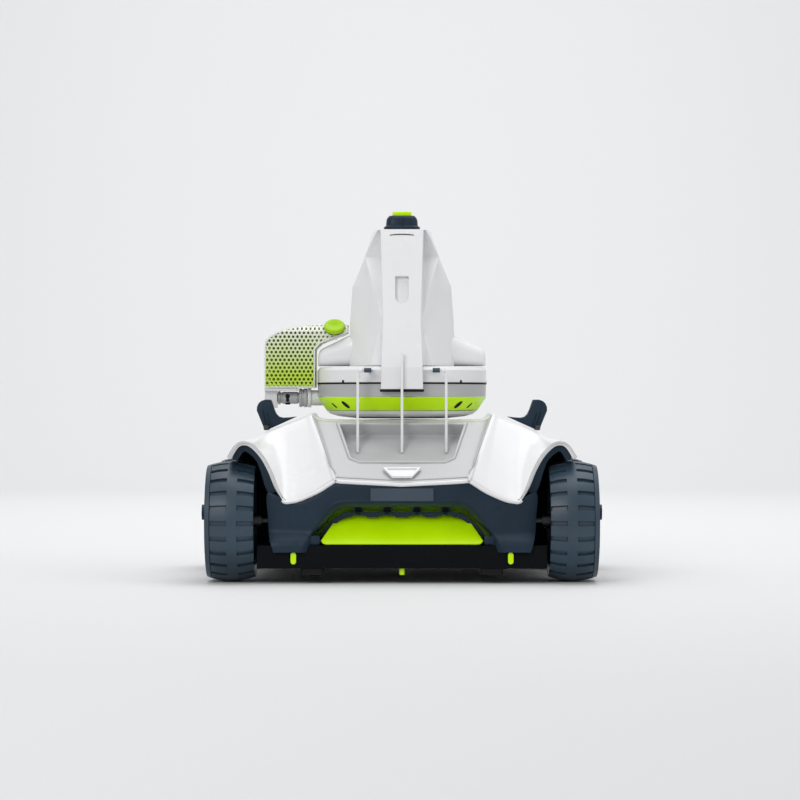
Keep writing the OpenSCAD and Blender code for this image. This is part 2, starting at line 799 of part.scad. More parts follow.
module lever(side) {
  color(NAVY) mirror([side > 0 ? 0 : 1, 0, 0]) difference() {
    along_y(lever_y0, lever_y0 + lever_w) polygon(lever_points());
    translate([lever_x, lever_y0 - 1, lever_z]) rotate([-90, 0, 0])
      cylinder(r = pin_r + run_gap, h = lever_w + 2);
  }
}

module lever_pins() {
  color(STEEL) both_sides() {
    translate([lever_x, lever_y0 - 4, lever_z]) rotate([-90, 0, 0]) cylinder(r = pin_r, h = lever_w + 8);
    for (y = [lever_y0 - 3.4, lever_y0 + lever_w + 0.4])
      box([lever_x - 2.4, y, 150.2], [lever_x + 2.4, y + 3, 155]);
  }
}

chassis_tub();
bottom_plate();
top_cover();
deck_panel();
finger_pull();
front_bumper();
bumper_plate();
intake_comb();
intake_throat();
rear_bumper();
feet();
drain_plug();
guide_fins();
fin_brackets();
flap_pin();
lever_pins();
base_bowl();
jet_ring();
mid_ring();
gasket_ring();
turret_shell();
mast_shell();
spine_cover();
outlet_port();
outlet_elbow();
pump_motor();
shaft_seal();
battery_pack();
control_board();
drive_motors();
axle_bearings();
screws();
stub_axle(-1);  // axle_front_left
stub_axle(1);  // axle_front_right
tyre(-1, -axle_y);  // tyre_front_left
tyre(1, -axle_y);  // tyre_front_right
tyre(-1, axle_y);  // tyre_rear_left
tyre(1, axle_y);  // tyre_rear_right
rim(-1, -axle_y);  // rim_front_left
rim(1, -axle_y);  // rim_front_right
rim(-1, axle_y);  // rim_rear_left
rim(1, axle_y);  // rim_rear_right
drive_axle(-1);  // axle_rear_left
drive_axle(1);  // axle_rear_right
pinion(-1);  // pinion_left
pinion(1);  // pinion_right
wheel_nut(-1);  // wheel_nut_left
wheel_nut(1);  // wheel_nut_right
impeller();
lever(-1);  // lever_left
lever(1);  // lever_right
intake_flap();
top_cap();
release_tab();
mesh_basket();
basket_liner();
basket_knob();
coupling_collar();
catch_pill(-107);  // catch_left
catch_pill(107);  // catch_right
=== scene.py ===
"""Looks of the wheeled pool cleaner: moulded shells, tyres, mesh basket, finishes, light and camera."""
import bpy
import bmesh
import json
import math
from mathutils import Matrix, Vector


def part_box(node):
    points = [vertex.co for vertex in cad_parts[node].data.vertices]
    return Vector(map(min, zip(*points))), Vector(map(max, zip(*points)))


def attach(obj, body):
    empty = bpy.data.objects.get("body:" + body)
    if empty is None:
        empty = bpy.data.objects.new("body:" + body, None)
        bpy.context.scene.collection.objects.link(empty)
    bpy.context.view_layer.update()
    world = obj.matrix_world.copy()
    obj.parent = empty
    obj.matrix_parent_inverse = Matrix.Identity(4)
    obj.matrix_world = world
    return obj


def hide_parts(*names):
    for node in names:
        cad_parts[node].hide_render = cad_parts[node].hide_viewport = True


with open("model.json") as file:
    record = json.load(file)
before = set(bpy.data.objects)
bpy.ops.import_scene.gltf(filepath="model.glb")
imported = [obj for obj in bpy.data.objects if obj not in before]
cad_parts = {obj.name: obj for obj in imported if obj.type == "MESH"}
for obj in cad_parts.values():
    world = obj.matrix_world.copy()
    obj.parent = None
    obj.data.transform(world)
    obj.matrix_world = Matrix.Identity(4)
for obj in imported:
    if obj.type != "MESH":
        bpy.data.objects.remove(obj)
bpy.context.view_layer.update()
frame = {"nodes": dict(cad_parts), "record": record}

MM = 0.001
CHASSIS = "chassis"


# ---------- places taken from the frame ----------

def low(node):
    """Lowest corner of a CAD node, in millimetres."""
    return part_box(node)[0] / MM


def high(node):
    """Highest corner of a CAD node, in millimetres."""
    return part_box(node)[1] / MM


def middle(node):
    """Centre of a CAD node's box, in millimetres."""
    return [(a + b) / 2 for a, b in zip(low(node), high(node))]


# ---------- small modelling helpers ----------

def deselect():
    if bpy.context.object and bpy.context.object.mode != "OBJECT":
        bpy.ops.object.mode_set(mode="OBJECT")
    bpy.ops.object.select_all(action="DESELECT")


def pick(obj):
    """Makes obj the only selected and active object."""
    deselect()
    obj.select_set(True)
    bpy.context.view_layer.objects.active = obj


def in_edit(obj, mode="FACE"):
    """Enters edit mode on obj with nothing selected."""
    pick(obj)
    bpy.ops.object.mode_set(mode="EDIT")
    bpy.ops.mesh.select_mode(type=mode)
    bpy.ops.mesh.select_all(action="DESELECT")


def choose_faces(obj, wanted):
    """Selects the faces for which wanted(centre in mm, normal) is true, and stays in edit mode."""
    bpy.ops.object.mode_set(mode="OBJECT")
    for face in obj.data.polygons:
        face.select = wanted(face.center / MM, face.normal)
    bpy.ops.object.mode_set(mode="EDIT")


def apply_modifier(obj, kind, **values):
    """Adds one modifier with these values and applies it."""
    pick(obj)
    modifier = obj.modifiers.new(kind.title(), kind)
    for key, value in values.items():
        setattr(modifier, key, value)
    bpy.ops.object.modifier_apply(modifier=modifier.name)


def round_edges(obj, width, segments=2, angle=32):
    """Bevels the edges sharper than angle, by width in millimetres."""
    apply_modifier(obj, "BEVEL", width=width * MM, segments=segments, limit_method="ANGLE",
                   angle_limit=math.radians(angle), harden_normals=False)


def tidy_mesh(obj, gap=0.01):
    """Merges doubles and turns all faces outwards."""
    in_edit(obj, "VERT")
    bpy.ops.mesh.select_all(action="SELECT")
    bpy.ops.mesh.remove_doubles(threshold=gap * MM)
    bpy.ops.mesh.normals_make_consistent(inside=False)
    bpy.ops.object.mode_set(mode="OBJECT")


def smooth(obj, angle=35):
    """Shades smooth across edges flatter than angle."""
    pick(obj)
    bpy.ops.object.shade_smooth_by_angle(angle=math.radians(angle))


def sheet_from(name, columns, rows, place):
    """A grid whose point (s, t), each from 0 to 1, is moved to place(s, t) in millimetres."""
    deselect()
    bpy.ops.mesh.primitive_grid_add(x_subdivisions=columns, y_subdivisions=rows, size=1)
    obj = bpy.context.object
    obj.name = name
    for vertex in obj.data.vertices:
        vertex.co = Vector(place(vertex.co.x + 0.5, vertex.co.y + 0.5)) * MM
    return obj


def block(name, lo, hi):
    """A cube between two corners, in millimetres."""
    deselect()
    bpy.ops.mesh.primitive_cube_add(size=1)
    obj = bpy.context.object
    obj.name = name
    for vertex in obj.data.vertices:
        vertex.co = Vector([(a + (b - a) * (c + 0.5)) * MM for a, b, c in zip(lo, hi, vertex.co)])
    return obj


def drum(name, radius, length, place, vertices=48, cone=None):
    """A cylinder, or a cone to radius cone, along Z and moved by the matrix place, in millimetres."""
    deselect()
    bpy.ops.mesh.primitive_cone_add(vertices=vertices, radius1=radius,
                                    radius2=radius if cone is None else cone,
                                    depth=length)
    obj = bpy.context.object
    obj.name = name
    for vertex in obj.data.vertices:
        vertex.co = (place @ vertex.co) * MM
    return obj


def turned(name, profile, place, steps=96):
    """Spins a closed profile of (radius, height) points about Z, then moves it by the matrix place."""
    def at(s, t):
        x, z = profile[round(s * len(profile)) % len(profile)]
        turn = 2 * math.pi * t
        return place @ Vector((x * math.cos(turn), x * math.sin(turn), z))
    obj = sheet_from(name, len(profile), steps, at)
    tidy_mesh(obj, 0.002)
    return obj


def slab(name, outline, to_space, depth):
    """Extrudes an outline of (a, b) points; to_space(a, b, d) gives its place at depth d, in millimetres."""
    deselect()
    bpy.ops.mesh.primitive_circle_add(vertices=len(outline), radius=1, fill_type="NGON")
    obj = bpy.context.object
    obj.name = name
    for vertex, (a, b) in zip(obj.data.vertices, outline):
        vertex.co = Vector(to_space(a, b, 0)) * MM
    in_edit(obj)
    bpy.ops.mesh.select_all(action="SELECT")
    move = (Vector(to_space(0, 0, depth)) - Vector(to_space(0, 0, 0))) * MM
    bpy.ops.mesh.extrude_region_move(TRANSFORM_OT_translate={"value": move})
    bpy.ops.object.mode_set(mode="OBJECT")
    tidy_mesh(obj)
    return obj


def tube(name, points, radius, closed=False, sides=6):
    """A round bar through points in millimetres, as a mesh."""
    deselect()
    curve = bpy.data.curves.new(name, "CURVE")
    curve.dimensions = "3D"
    curve.bevel_depth = radius * MM
    curve.bevel_resolution = max(sides // 2 - 1, 1)
    curve.use_fill_caps = True
    spline = curve.splines.new("POLY")
    spline.points.add(len(points) - 1)
    for point, at in zip(spline.points, points):
        point.co = (*[c * MM for c in at], 1)
    spline.use_cyclic_u = closed
    obj = bpy.data.objects.new(name, curve)
    bpy.context.collection.objects.link(obj)
    pick(obj)
    bpy.ops.object.convert(target="MESH")
    obj = bpy.context.object
    tidy_mesh(obj, 0.001)
    return obj


def cut_with(obj, cutter):
    """Cuts cutter out of obj, and removes cutter."""
    apply_modifier(obj, "BOOLEAN", operation="DIFFERENCE", object=cutter, solver="EXACT")
    bpy.data.objects.remove(cutter, do_unlink=True)


def close_holes(obj, bridge=False):
    """Merges doubles, then closes the open borders by a face each, or by a bridge between two of them."""
    in_edit(obj, "VERT")
    bpy.ops.mesh.select_all(action="SELECT")
    bpy.ops.mesh.remove_doubles(threshold=0.001 * MM)
    bpy.ops.mesh.select_mode(type="EDGE")
    bpy.ops.mesh.select_all(action="DESELECT")
    bpy.ops.mesh.select_non_manifold()
    if bridge:
        bpy.ops.mesh.bridge_edge_loops()
    else:
        bpy.ops.mesh.fill()
    bpy.ops.object.mode_set(mode="OBJECT")
    tidy_mesh(obj, 0.001)


def join(name, pieces):
    """Joins pieces into the first one."""
    deselect()
    for piece in pieces:
        piece.select_set(True)
    bpy.context.view_layer.objects.active = pieces[0]
    bpy.ops.object.join()
    obj = bpy.context.object
    obj.name = name
    return obj


def dress(obj, material, body, stands_for=()):
    """Gives a finished piece its material and its body, and hides the CAD nodes that it stands for."""
    obj.data.materials.clear()
    obj.data.materials.append(material)
    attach(obj, body)
    if stands_for:
        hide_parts(*stands_for)
    return obj


def mix(a, b, s):
    return a + (b - a) * s


def spline_at(points, s):
    """Point at s, from 0 to 1, on a smooth curve through points."""
    n = len(points) - 1
    k = min(int(s * n), n - 1)
    f = s * n - k
    p = [points[max(k - 1, 0)], points[k], points[k + 1], points[min(k + 2, n)]]
    return [0.5 * (2 * b + (c - a) * f + (2 * a - 5 * b + 4 * c - d) * f * f
                   + (3 * b - a - 3 * c + d) * f ** 3)
            for a, b, c, d in zip(*p)]


def soft_min(a, b, k):
    """Minimum of a and b, rounded over k."""
    h = max(k - abs(a - b), 0) / k
    return min(a, b) - h * h * k / 4


# ---------- finishes ----------

def new_group(name, inputs, outputs):
    """A shader node group with these sockets: inputs are (name, default), outputs are (name, kind)."""
    group = bpy.data.node_groups.new(name, "ShaderNodeTree")
    for label, value in inputs:
        kind = "NodeSocketColor" if isinstance(value, tuple) else "NodeSocketFloat"
        socket = group.interface.new_socket(label, in_out="INPUT", socket_type=kind)
        socket.default_value = value
    for label, kind in outputs:
        group.interface.new_socket(label, in_out="OUTPUT", socket_type=kind)
    return group, group.nodes.new("NodeGroupInput"), group.nodes.new("NodeGroupOutput")


def add(tree, kind, **values):
    """Adds a node, sets its properties, and fills the sockets whose names or numbers are given as in_..."""
    node = tree.nodes.new(kind)
    for key, value in values.items():
        if key.startswith("in_"):
            label = key[3:]
            node.inputs[int(label) if label.isdigit() else label].default_value = value
        else:
            setattr(node, key, value)
    return node


def moulded_grain_group():
    """Soft colour mottling and the fine pitting of a moulded surface, as values."""
    group, source, sink = new_group("moulded_grain", [("Cloud size", 18.0), ("Pit size", 900.0)],
                                    [("Cloud", "NodeSocketFloat"), ("Pits", "NodeSocketFloat")])
    where = add(group, "ShaderNodeTexCoord")
    cloud = add(group, "ShaderNodeTexNoise", in_Detail=4.0, in_Roughness=0.55)
    pits = add(group, "ShaderNodeTexNoise", in_Detail=2.0)
    for node, size in ((cloud, "Cloud size"), (pits, "Pit size")):
        group.links.new(where.outputs["Object"], node.inputs["Vector"])
        group.links.new(source.outputs[size], node.inputs["Scale"])
    group.links.new(cloud.outputs["Fac"], sink.inputs["Cloud"])
    group.links.new(pits.outputs["Fac"], sink.inputs["Pits"])
    return group


def edge_wear_group():
    """Mask of the outer edges, broken up by noise: 1 where an edge is rubbed."""
    group, source, sink = new_group("edge_wear", [("Radius", 0.001), ("Amount", 0.5)],
                                    [("Worn", "NodeSocketFloat"), ("Rounded", "NodeSocketVector")])
    bevel = add(group, "ShaderNodeBevel", samples=4)
    shape = add(group, "ShaderNodeNewGeometry")
    spread = add(group, "ShaderNodeVectorMath", operation="DOT_PRODUCT")
    turn = add(group, "ShaderNodeMapRange", in_1=0.995, in_2=0.86, in_3=0.0, in_4=1.0)
    where = add(group, "ShaderNodeTexCoord")
    patches = add(group, "ShaderNodeTexNoise", in_Scale=90.0, in_Detail=5.0)
    broken = add(group, "ShaderNodeMapRange", in_1=0.42, in_2=0.66, in_3=0.0, in_4=1.0)
    both = add(group, "ShaderNodeMath", operation="MULTIPLY")
    scaled = add(group, "ShaderNodeMath", operation="MULTIPLY")
    link = group.links.new
    link(source.outputs["Radius"], bevel.inputs["Radius"])
    link(bevel.outputs["Normal"], spread.inputs[0])
    link(shape.outputs["Normal"], spread.inputs[1])
    link(spread.outputs["Value"], turn.inputs[0])
    link(where.outputs["Object"], patches.inputs["Vector"])
    link(patches.outputs["Fac"], broken.inputs[0])
    link(turn.outputs[0], both.inputs[0])
    link(broken.outputs[0], both.inputs[1])
    link(both.outputs[0], scaled.inputs[0])
    link(source.outputs["Amount"], scaled.inputs[1])
    link(scaled.outputs[0], sink.inputs["Worn"])
    link(bevel.outputs["Normal"], sink.inputs["Rounded"])
    return group


def water_mark_group():
    """Faint dried drops left by pool water, as a mask."""
    group, source, sink = new_group("water_marks", [("Drop size", 120.0), ("Amount", 0.3)],
                                    [("Mask", "NodeSocketFloat")])
    where = add(group, "ShaderNodeTexCoord")
    drops = add(group, "ShaderNodeTexVoronoi", feature="F1")
    ring = add(group, "ShaderNodeMapRange", in_1=0.30, in_2=0.36, in_3=1.0, in_4=0.0)
    area = add(group, "ShaderNodeTexNoise", in_Scale=14.0, in_Detail=3.0)
    where_wet = add(group, "ShaderNodeMapRange", in_1=0.52, in_2=0.64, in_3=0.0, in_4=1.0)
    both = add(group, "ShaderNodeMath", operation="MULTIPLY")
    scaled = add(group, "ShaderNodeMath", operation="MULTIPLY")
    link = group.links.new
    link(where.outputs["Object"], drops.inputs["Vector"])
    link(where.outputs["Object"], area.inputs["Vector"])
    link(source.outputs["Drop size"], drops.inputs["Scale"])
    link(drops.outputs["Distance"], ring.inputs[0])
    link(area.outputs["Fac"], where_wet.inputs[0])
    link(ring.outputs[0], both.inputs[0])
    link(where_wet.outputs[0], both.inputs[1])
    link(both.outputs[0], scaled.inputs[0])
    link(source.outputs["Amount"], scaled.inputs[1])
    link(scaled.outputs[0], sink.inputs["Mask"])
    return group


GRAIN = moulded_grain_group()
WEAR = edge_wear_group()
MARKS = water_mark_group()


def use_group(tree, group, **values):
    node = tree.nodes.new("ShaderNodeGroup")
    node.node_tree = group
    for key, value in values.items():
        node.inputs[key.replace("_", " ")].default_value = value
    return node


def colour_blend(tree, amount, first, second, mode="MIX"):
    """A colour mix node: amount is a socket or a number, first and second are sockets or colours."""
    node = tree.nodes.new("ShaderNodeMix")
    node.data_type = "RGBA"
    node.blend_type = mode
    for index, value in ((0, amount), (6, first), (7, second)):
        if isinstance(value, bpy.types.NodeSocket):
            tree.links.new(value, node.inputs[index])
        else:
            node.inputs[index].default_value = value
    return node.outputs[2]


def ranged(tree, value, lo, hi, to_lo, to_hi):
    node = add(tree, "ShaderNodeMapRange", in_1=lo, in_2=hi, in_3=to_lo, in_4=to_hi)
    tree.links.new(value, node.inputs[0])
    return node.outputs[0]


def moulded(name, colour, rough, coat=0.0, mottle=0.06, wear=0.35, worn_colour=None, pit_size=900.0,
            pit_depth=0.02, edge=0.8, metallic=0.0, marks=0.25, shine=0.5):
    """Moulded plastic or painted surface: mottled colour, rubbed edges, dried drops, and fine pits."""
    material = bpy.data.materials.new(name)
    material.use_nodes = True
    tree = material.node_tree
    surface = tree.nodes["Principled BSDF"]
    surface.inputs["Metallic"].default_value = metallic
    surface.inputs["Coat Weight"].default_value = coat
    surface.inputs["Coat Roughness"].default_value = 0.08
    surface.inputs["Specular IOR Level"].default_value = shine
    grain = use_group(tree, GRAIN, Cloud_size=22.0, Pit_size=pit_size)
    edges = use_group(tree, WEAR, Radius=edge * MM, Amount=wear)
    drops = use_group(tree, MARKS, Drop_size=150.0, Amount=marks)
    dark = (*[c * (1 - mottle) for c in colour], 1)
    pale = (*[min(c * (1 + mottle), 1) for c in colour], 1)
    worn = worn_colour or tuple(min(c * 1.35 + 0.05, 1) for c in colour)
    cloud = ranged(tree, grain.outputs["Cloud"], 0.35, 0.65, 0.0, 1.0)
    base = colour_blend(tree, cloud, dark, pale)
    base = colour_blend(tree, edges.outputs["Worn"], base, (*worn, 1))
    base = colour_blend(tree, drops.outputs["Mask"], base, (*[min(c * 1.08 + 0.01, 1) for c in colour], 1))
    tree.links.new(base, surface.inputs["Base Color"])
    gloss = ranged(tree, grain.outputs["Cloud"], 0.3, 0.7, rough * 0.88, rough * 1.15)
    rubbed = add(tree, "ShaderNodeMath", operation="MULTIPLY_ADD", in_1=0.25)
    tree.links.new(edges.outputs["Worn"], rubbed.inputs[0])
    tree.links.new(gloss, rubbed.inputs[2])
    spotted = add(tree, "ShaderNodeMath", operation="MULTIPLY_ADD", in_1=0.35)
    tree.links.new(drops.outputs["Mask"], spotted.inputs[0])
    tree.links.new(rubbed.outputs[0], spotted.inputs[2])
    tree.links.new(spotted.outputs[0], surface.inputs["Roughness"])
    bump = add(tree, "ShaderNodeBump", in_Strength=0.5, in_Distance=pit_depth * MM)
    tree.links.new(grain.outputs["Pits"], bump.inputs["Height"])
    tree.links.new(edges.outputs["Rounded"], bump.inputs["Normal"])
    tree.links.new(bump.outputs["Normal"], surface.inputs["Normal"])
    return material


def white_shell():
    return moulded("white_shell", (0.80, 0.80, 0.805), 0.30, coat=0.2, mottle=0.012, wear=0.0,
                   pit_depth=0.006)


def silver_panel():
    """Satin grey lacquer with a fine fleck."""
    return moulded("silver_panel", (0.46, 0.46, 0.465), 0.38, coat=0.1, mottle=0.02, wear=0.1, metallic=0.1,
                   pit_size=2600.0, pit_depth=0.012)


def navy_plastic():
    return moulded("navy_plastic", (0.0105, 0.025, 0.043), 0.42, mottle=0.12, wear=0.35, pit_size=1500.0,
                   pit_depth=0.03, shine=0.22)


def slate_plastic():
    return moulded("slate_plastic", (0.040, 0.060, 0.085), 0.42, mottle=0.1, wear=0.3, pit_size=1500.0,
                   pit_depth=0.03, shine=0.4)


# Black plastic; on the chassis tub and the walls under the fenders it stands for painted shade.
def black_plastic():
    return moulded("black_plastic", (0.0012, 0.0022, 0.0036), 0.5, mottle=0.2, wear=0.3, pit_size=1300.0,
                   pit_depth=0.04, worn_colour=(0.01, 0.016, 0.024), shine=0.1)


def lime_plastic():
    return moulded("lime_plastic", (0.58, 0.93, 0.0), 0.34, coat=0.05, mottle=0.04, wear=0.1,
                   pit_depth=0.008,
                   shine=0.25)


# Lime darkened to olive as painted shade, for the throat deep inside the mouth; the basket knob takes it
# too.
def painted_shade_lime():
    return moulded("painted_shade_lime", (0.36, 0.62, 0.0), 0.5, mottle=0.05, wear=0.1, pit_depth=0.02, shine=0.3)


def tyre_rubber():
    """Rubber with moulding pits, lighter along its edges."""
    return moulded("tyre_rubber", (0.022, 0.046, 0.070), 0.40, mottle=0.16, wear=0.45, pit_size=1100.0,
                   pit_depth=0.05, edge=0.5, worn_colour=(0.09, 0.13, 0.18), shine=0.5)


def black_rubber():
    return moulded("black_rubber", (0.002, 0.002, 0.0022), 0.6, mottle=0.2, wear=0.2, pit_size=1200.0,
                   pit_depth=0.05, worn_colour=(0.02, 0.02, 0.02), shine=0.25)


def stainless_steel():
    """Turned steel coloured very dark, with brighter worn edges."""
    return moulded("stainless_steel", (0.08, 0.085, 0.09), 0.4, mottle=0.06, wear=0.3, metallic=1.0,
                   worn_colour=(0.5, 0.5, 0.51), pit_size=3500.0, pit_depth=0.01)


def motor_can():
    """Drawn steel can, satin."""
    return moulded("motor_can", (0.45, 0.46, 0.47), 0.35, mottle=0.05, wear=0.3, metallic=1.0,
                   pit_size=2500.0,
                   pit_depth=0.01)


def battery_case():
    return moulded("battery_case", (0.02, 0.024, 0.03), 0.55, mottle=0.15, wear=0.4, pit_depth=0.04)


def circuit_board():
    return moulded("circuit_board", (0.01, 0.08, 0.03), 0.35, mottle=0.3, wear=0.2, pit_size=400.0,
                   pit_depth=0.05)


def basket_mesh_finish():
    """Lime moulded mesh that fades to white towards its top."""
    material = moulded("lime_mesh", (0.52, 0.72, 0.06), 0.45, mottle=0.05, wear=0.1, pit_depth=0.02,
                       shine=0.3)
    tree = material.node_tree
    surface = tree.nodes["Principled BSDF"]
    lime = surface.inputs["Base Color"].links[0].from_socket
    where = add(tree, "ShaderNodeTexCoord")
    axes = add(tree, "ShaderNodeSeparateXYZ")
    tree.links.new(where.outputs["Object"], axes.inputs[0])
    height = ranged(tree, axes.outputs["Z"], BASKET_FADE[0] * MM, BASKET_FADE[1] * MM, 0.0, 1.0)
    faded = colour_blend(tree, height, lime, (0.80, 0.82, 0.72, 1))
    tree.links.new(faded, surface.inputs["Base Color"])
    return material


def liner_finish():
    """Fine woven filter cloth in pale lime."""
    material = moulded("liner_mesh", (0.20, 0.30, 0.02), 0.7, mottle=0.1, wear=0.0, pit_depth=0.05,
                       shine=0.2)
    tree = material.node_tree
    surface = tree.nodes["Principled BSDF"]
    where = add(tree, "ShaderNodeTexCoord")
    weave = add(tree, "ShaderNodeTexBrick", in_Scale=320.0)
    weave.inputs["Mortar Size"].default_value = 0.03
    tree.links.new(where.outputs["Object"], weave.inputs["Vector"])
    bump = add(tree, "ShaderNodeBump", in_Strength=0.8, in_Distance=0.2 * MM)
    tree.links.new(weave.outputs["Fac"], bump.inputs["Height"])
    tree.links.new(bump.outputs["Normal"], surface.inputs["Normal"])
    return material


BASKET_FADE = (low("mesh_basket")[2] + 14, high("mesh_basket")[2] - 6)

FINISH = {
    "white_shell": white_shell(),
    "silver_panel": silver_panel(),
    "navy_plastic": navy_plastic(),
    "slate_plastic": slate_plastic(),
    "black_plastic": black_plastic(),
    "lime_plastic": lime_plastic(),
    "painted_shade_lime": painted_shade_lime(),
    "tyre_rubber": tyre_rubber(),
    "black_rubber": black_rubber(),
    "stainless_steel": stainless_steel(),
    "motor_can": motor_can(),
    "battery_case": battery_case(),
    "circuit_board": circuit_board(),
    "lime_mesh": basket_mesh_finish(),
    "liner_mesh": liner_finish(),
}


def dress_cad_nodes():
    """Every CAD node that stays takes the finish of its slot."""
    for row in frame["record"]["subparts"]:
        node = frame["nodes"][row["node"]]
        node.data.materials.clear()
        node.data.materials.append(FINISH[row["material_slot"]])


# ---------- cover ----------

# Half sections of the cover, centre to fender, at its front lip and on its deck
LIP = [(0, 98), (60, 101.2), (66, 101.9), (82.6, 91.6), (100, 83.7), (110, 81.2), (117, 81.7), (123.5, 92.6),
       (130.5, 110.3), (138.5, 125), (148.5, 135.9), (157, 138.5), (164, 135), (171, 124)]
DECK = [(0, 161.5), (78, 161.5), (92, 168), (98, 165.6), (105, 162.8), (112, 160), (119, 157.3), (127, 154),
        (134, 151), (141, 147.5), (150, 142.5), (158, 140.5), (166, 136.5), (173, 125)]
LIP_STEPS = 13
HOOD_FRONT = -150
HOOD_TOP = -70
TAIL_TOP = 88
TAIL_END = 148
TAIL_RISE = 0.25
RECESS_DEPTH = 14
LIP_SWEEP = 10
SLOPE = math.atan2(DECK[0][1] - LIP[0][1], HOOD_TOP - HOOD_FRONT)


def cover_blend(y):
    """0 at the front lip and 1 on the deck, eased where the slopes meet the deck."""
    front = (y - HOOD_FRONT) / (HOOD_TOP - HOOD_FRONT)
    rear = 1 - (1 - TAIL_RISE) * (y - TAIL_TOP) / (TAIL_END - TAIL_TOP)
    return soft_min(soft_min(front, 1, 0.12), soft_min(rear, 1, 0.12), 0.05)


def cover_point(across, y, drop=0.0):
    """Point on the cover: across runs from -1 at the left fender to 1 at the right one."""
    s = max(cover_blend(y), 0)
    x, z = [mix(a, b, s) for a, b in zip(spline_at(LIP, abs(across)), spline_at(DECK, abs(across)))]
    sweep = (1 if y < 0 else -1) * LIP_SWEEP * (1 - s) * min(x / 130, 1) ** 2
    return (math.copysign(x, across) if across else 0, y + sweep, z - drop)


def recess_prism(name, grow, depth_from, depth_to):
    """A prism on the front slope with the outline of the panel's recess."""
    outline = [(-40 - grow, 33.5 - grow), (40 + grow, 33.5 - grow), (50 + grow, 40 - grow),
               (63.5 + grow, 91 + grow),
               (-63.5 - grow, 91 + grow), (-50 - grow, 40 - grow)]
    return slab(name, outline, lambda a, b, d: on_slope(a, b, depth_from + d), depth_to - depth_from)


def on_slope(x, up, out):
    """Point on the front slope: up runs up it, and out stands off it."""
    return (x, HOOD_FRONT + up * math.cos(SLOPE) - out * math.sin(SLOPE),
            LIP[0][1] + up * math.sin(SLOPE) + out * math.cos(SLOPE))


def build_cover():
    """White cover: lofted sheet with a turned-down front lip, thickened, with the recess cut through."""
    lip_rows = 2
    rows = 96

    def place(s, t):
        row = round(t * (rows + lip_rows))
        across = 2 * s - 1
        if row < lip_rows:
            x, y, z = cover_point(across, HOOD_FRONT)
            fold = (lip_rows - row) / lip_rows
            return (x, y + 1.2 * fold, z - 0.6 * fold)
        y = mix(HOOD_FRONT, TAIL_END, (row - lip_rows) / rows)
        return cover_point(across, y)

    cover = sheet_from("cover_shell", 156, rows + lip_rows, place)
    apply_modifier(cover, "SOLIDIFY", thickness=2.4 * MM, offset=-1)
    tidy_mesh(cover, 0.001)
    cut_with(cover, recess_prism("recess_cutter", 3, -12, 12))
    opening = drum("inlet_cutter", 31, 40, Matrix.Translation((0, TURRET_Y, 160)))
    cut_with(cover, opening)
    round_edges(cover, 0.7, angle=50)
    smooth(cover, 40)
    dress(cover, FINISH["white_shell"], CHASSIS, ["top_cover"])


def build_lip_bead():
    """Bright rolled bead along the hood's lower edge."""
    reach = 6.15 / LIP_STEPS
    steps = 60
    points = []
    for i in range(steps + 1):
        across = mix(-reach, reach, i / steps)
        x, y, z = cover_point(across, HOOD_FRONT)
        points.append((x, y + 1.9, z - 0.6))
    bead = tube("hood_lip_bead", points, 2.1, sides=10)
    smooth(bead, 60)
    dress(bead, FINISH["white_shell"], CHASSIS)


def build_deck_panel():
    """Satin panel on the front slope, with a sunken pan, a raised rim and a groove round the rim."""
    reach = 2 / LIP_STEPS
    front, rear = HOOD_FRONT + 3, HOOD_TOP - 3

    def place(s, t):
        return cover_point((2 * s - 1) * reach, mix(front, rear, t), -1.5)

    skin = sheet_from("deck_skin", 24, 24, place)
    apply_modifier(skin, "SOLIDIFY", thickness=1.3 * MM, offset=-1)
    tidy_mesh(skin, 0.001)
    cut_with(skin, recess_prism("skin_cutter", 1.0, -12, 12))
    round_edges(skin, 0.5, angle=50)
    smooth(skin, 35)
    pan = recess_prism("pan", 3.2, -RECESS_DEPTH, 2.9)
    in_edit(pan)
    out = Vector((0, -math.sin(SLOPE), math.cos(SLOPE)))
    choose_faces(pan, lambda centre, normal: normal.dot(out) > 0.9)
    bpy.ops.mesh.inset(thickness=3.4 * MM)
    bpy.ops.mesh.extrude_region_move(TRANSFORM_OT_translate={"value": -out * 15.2 * MM})
    bpy.ops.object.mode_set(mode="OBJECT")
    round_edges(pan, 1.3, segments=3)
    smooth(pan, 35)
    panel = join("deck_skin", [skin, pan])
    dress(panel, FINISH["silver_panel"], CHASSIS, ["deck_panel"])


# ---------- mast ----------

# Mast sections: height, then half width and Y of the front, crease, widest and rear points
MAST = [(215.9, 21.5, -79, 32, -64, 54, -14, 42, 66, 0),
        (247, 20.5, -70.7, 25, -60, 54, -10, 38, 58, 0),
        (263, 18.9, -66.5, 20.5, -62, 53.6, -8, 35, 53, 0),
        (298, 20, -57.2, 29.2, -45, 51.2, -6, 30, 43, 6),
        (328.5, 21.2, -49.2, 38.4, -27, 38.8, -6, 24, 34, 8),
        (355.5, 21.8, -42, 25, -34, 29.5, -8, 19, 26, 5)]
RING_POINTS = 16


def mast_ring(section):
    """Plan outline of the mast at a section, round from the front, with a hollow beside the spine."""
    fx, fy, cx, cy, wx, wy, rx, ry, hollow = section[1:]
    half = [(0, fy), (fx - 1.5, fy), (fx + 1.5, mix(fy, cy, 0.8) + hollow), (cx, cy), (wx, wy),
            (wx, wy + 14),
            (rx, ry - 6), (rx * 0.5, ry), (0, ry)]
    return half + [(-x, y) for x, y in half[-2:0:-1]]


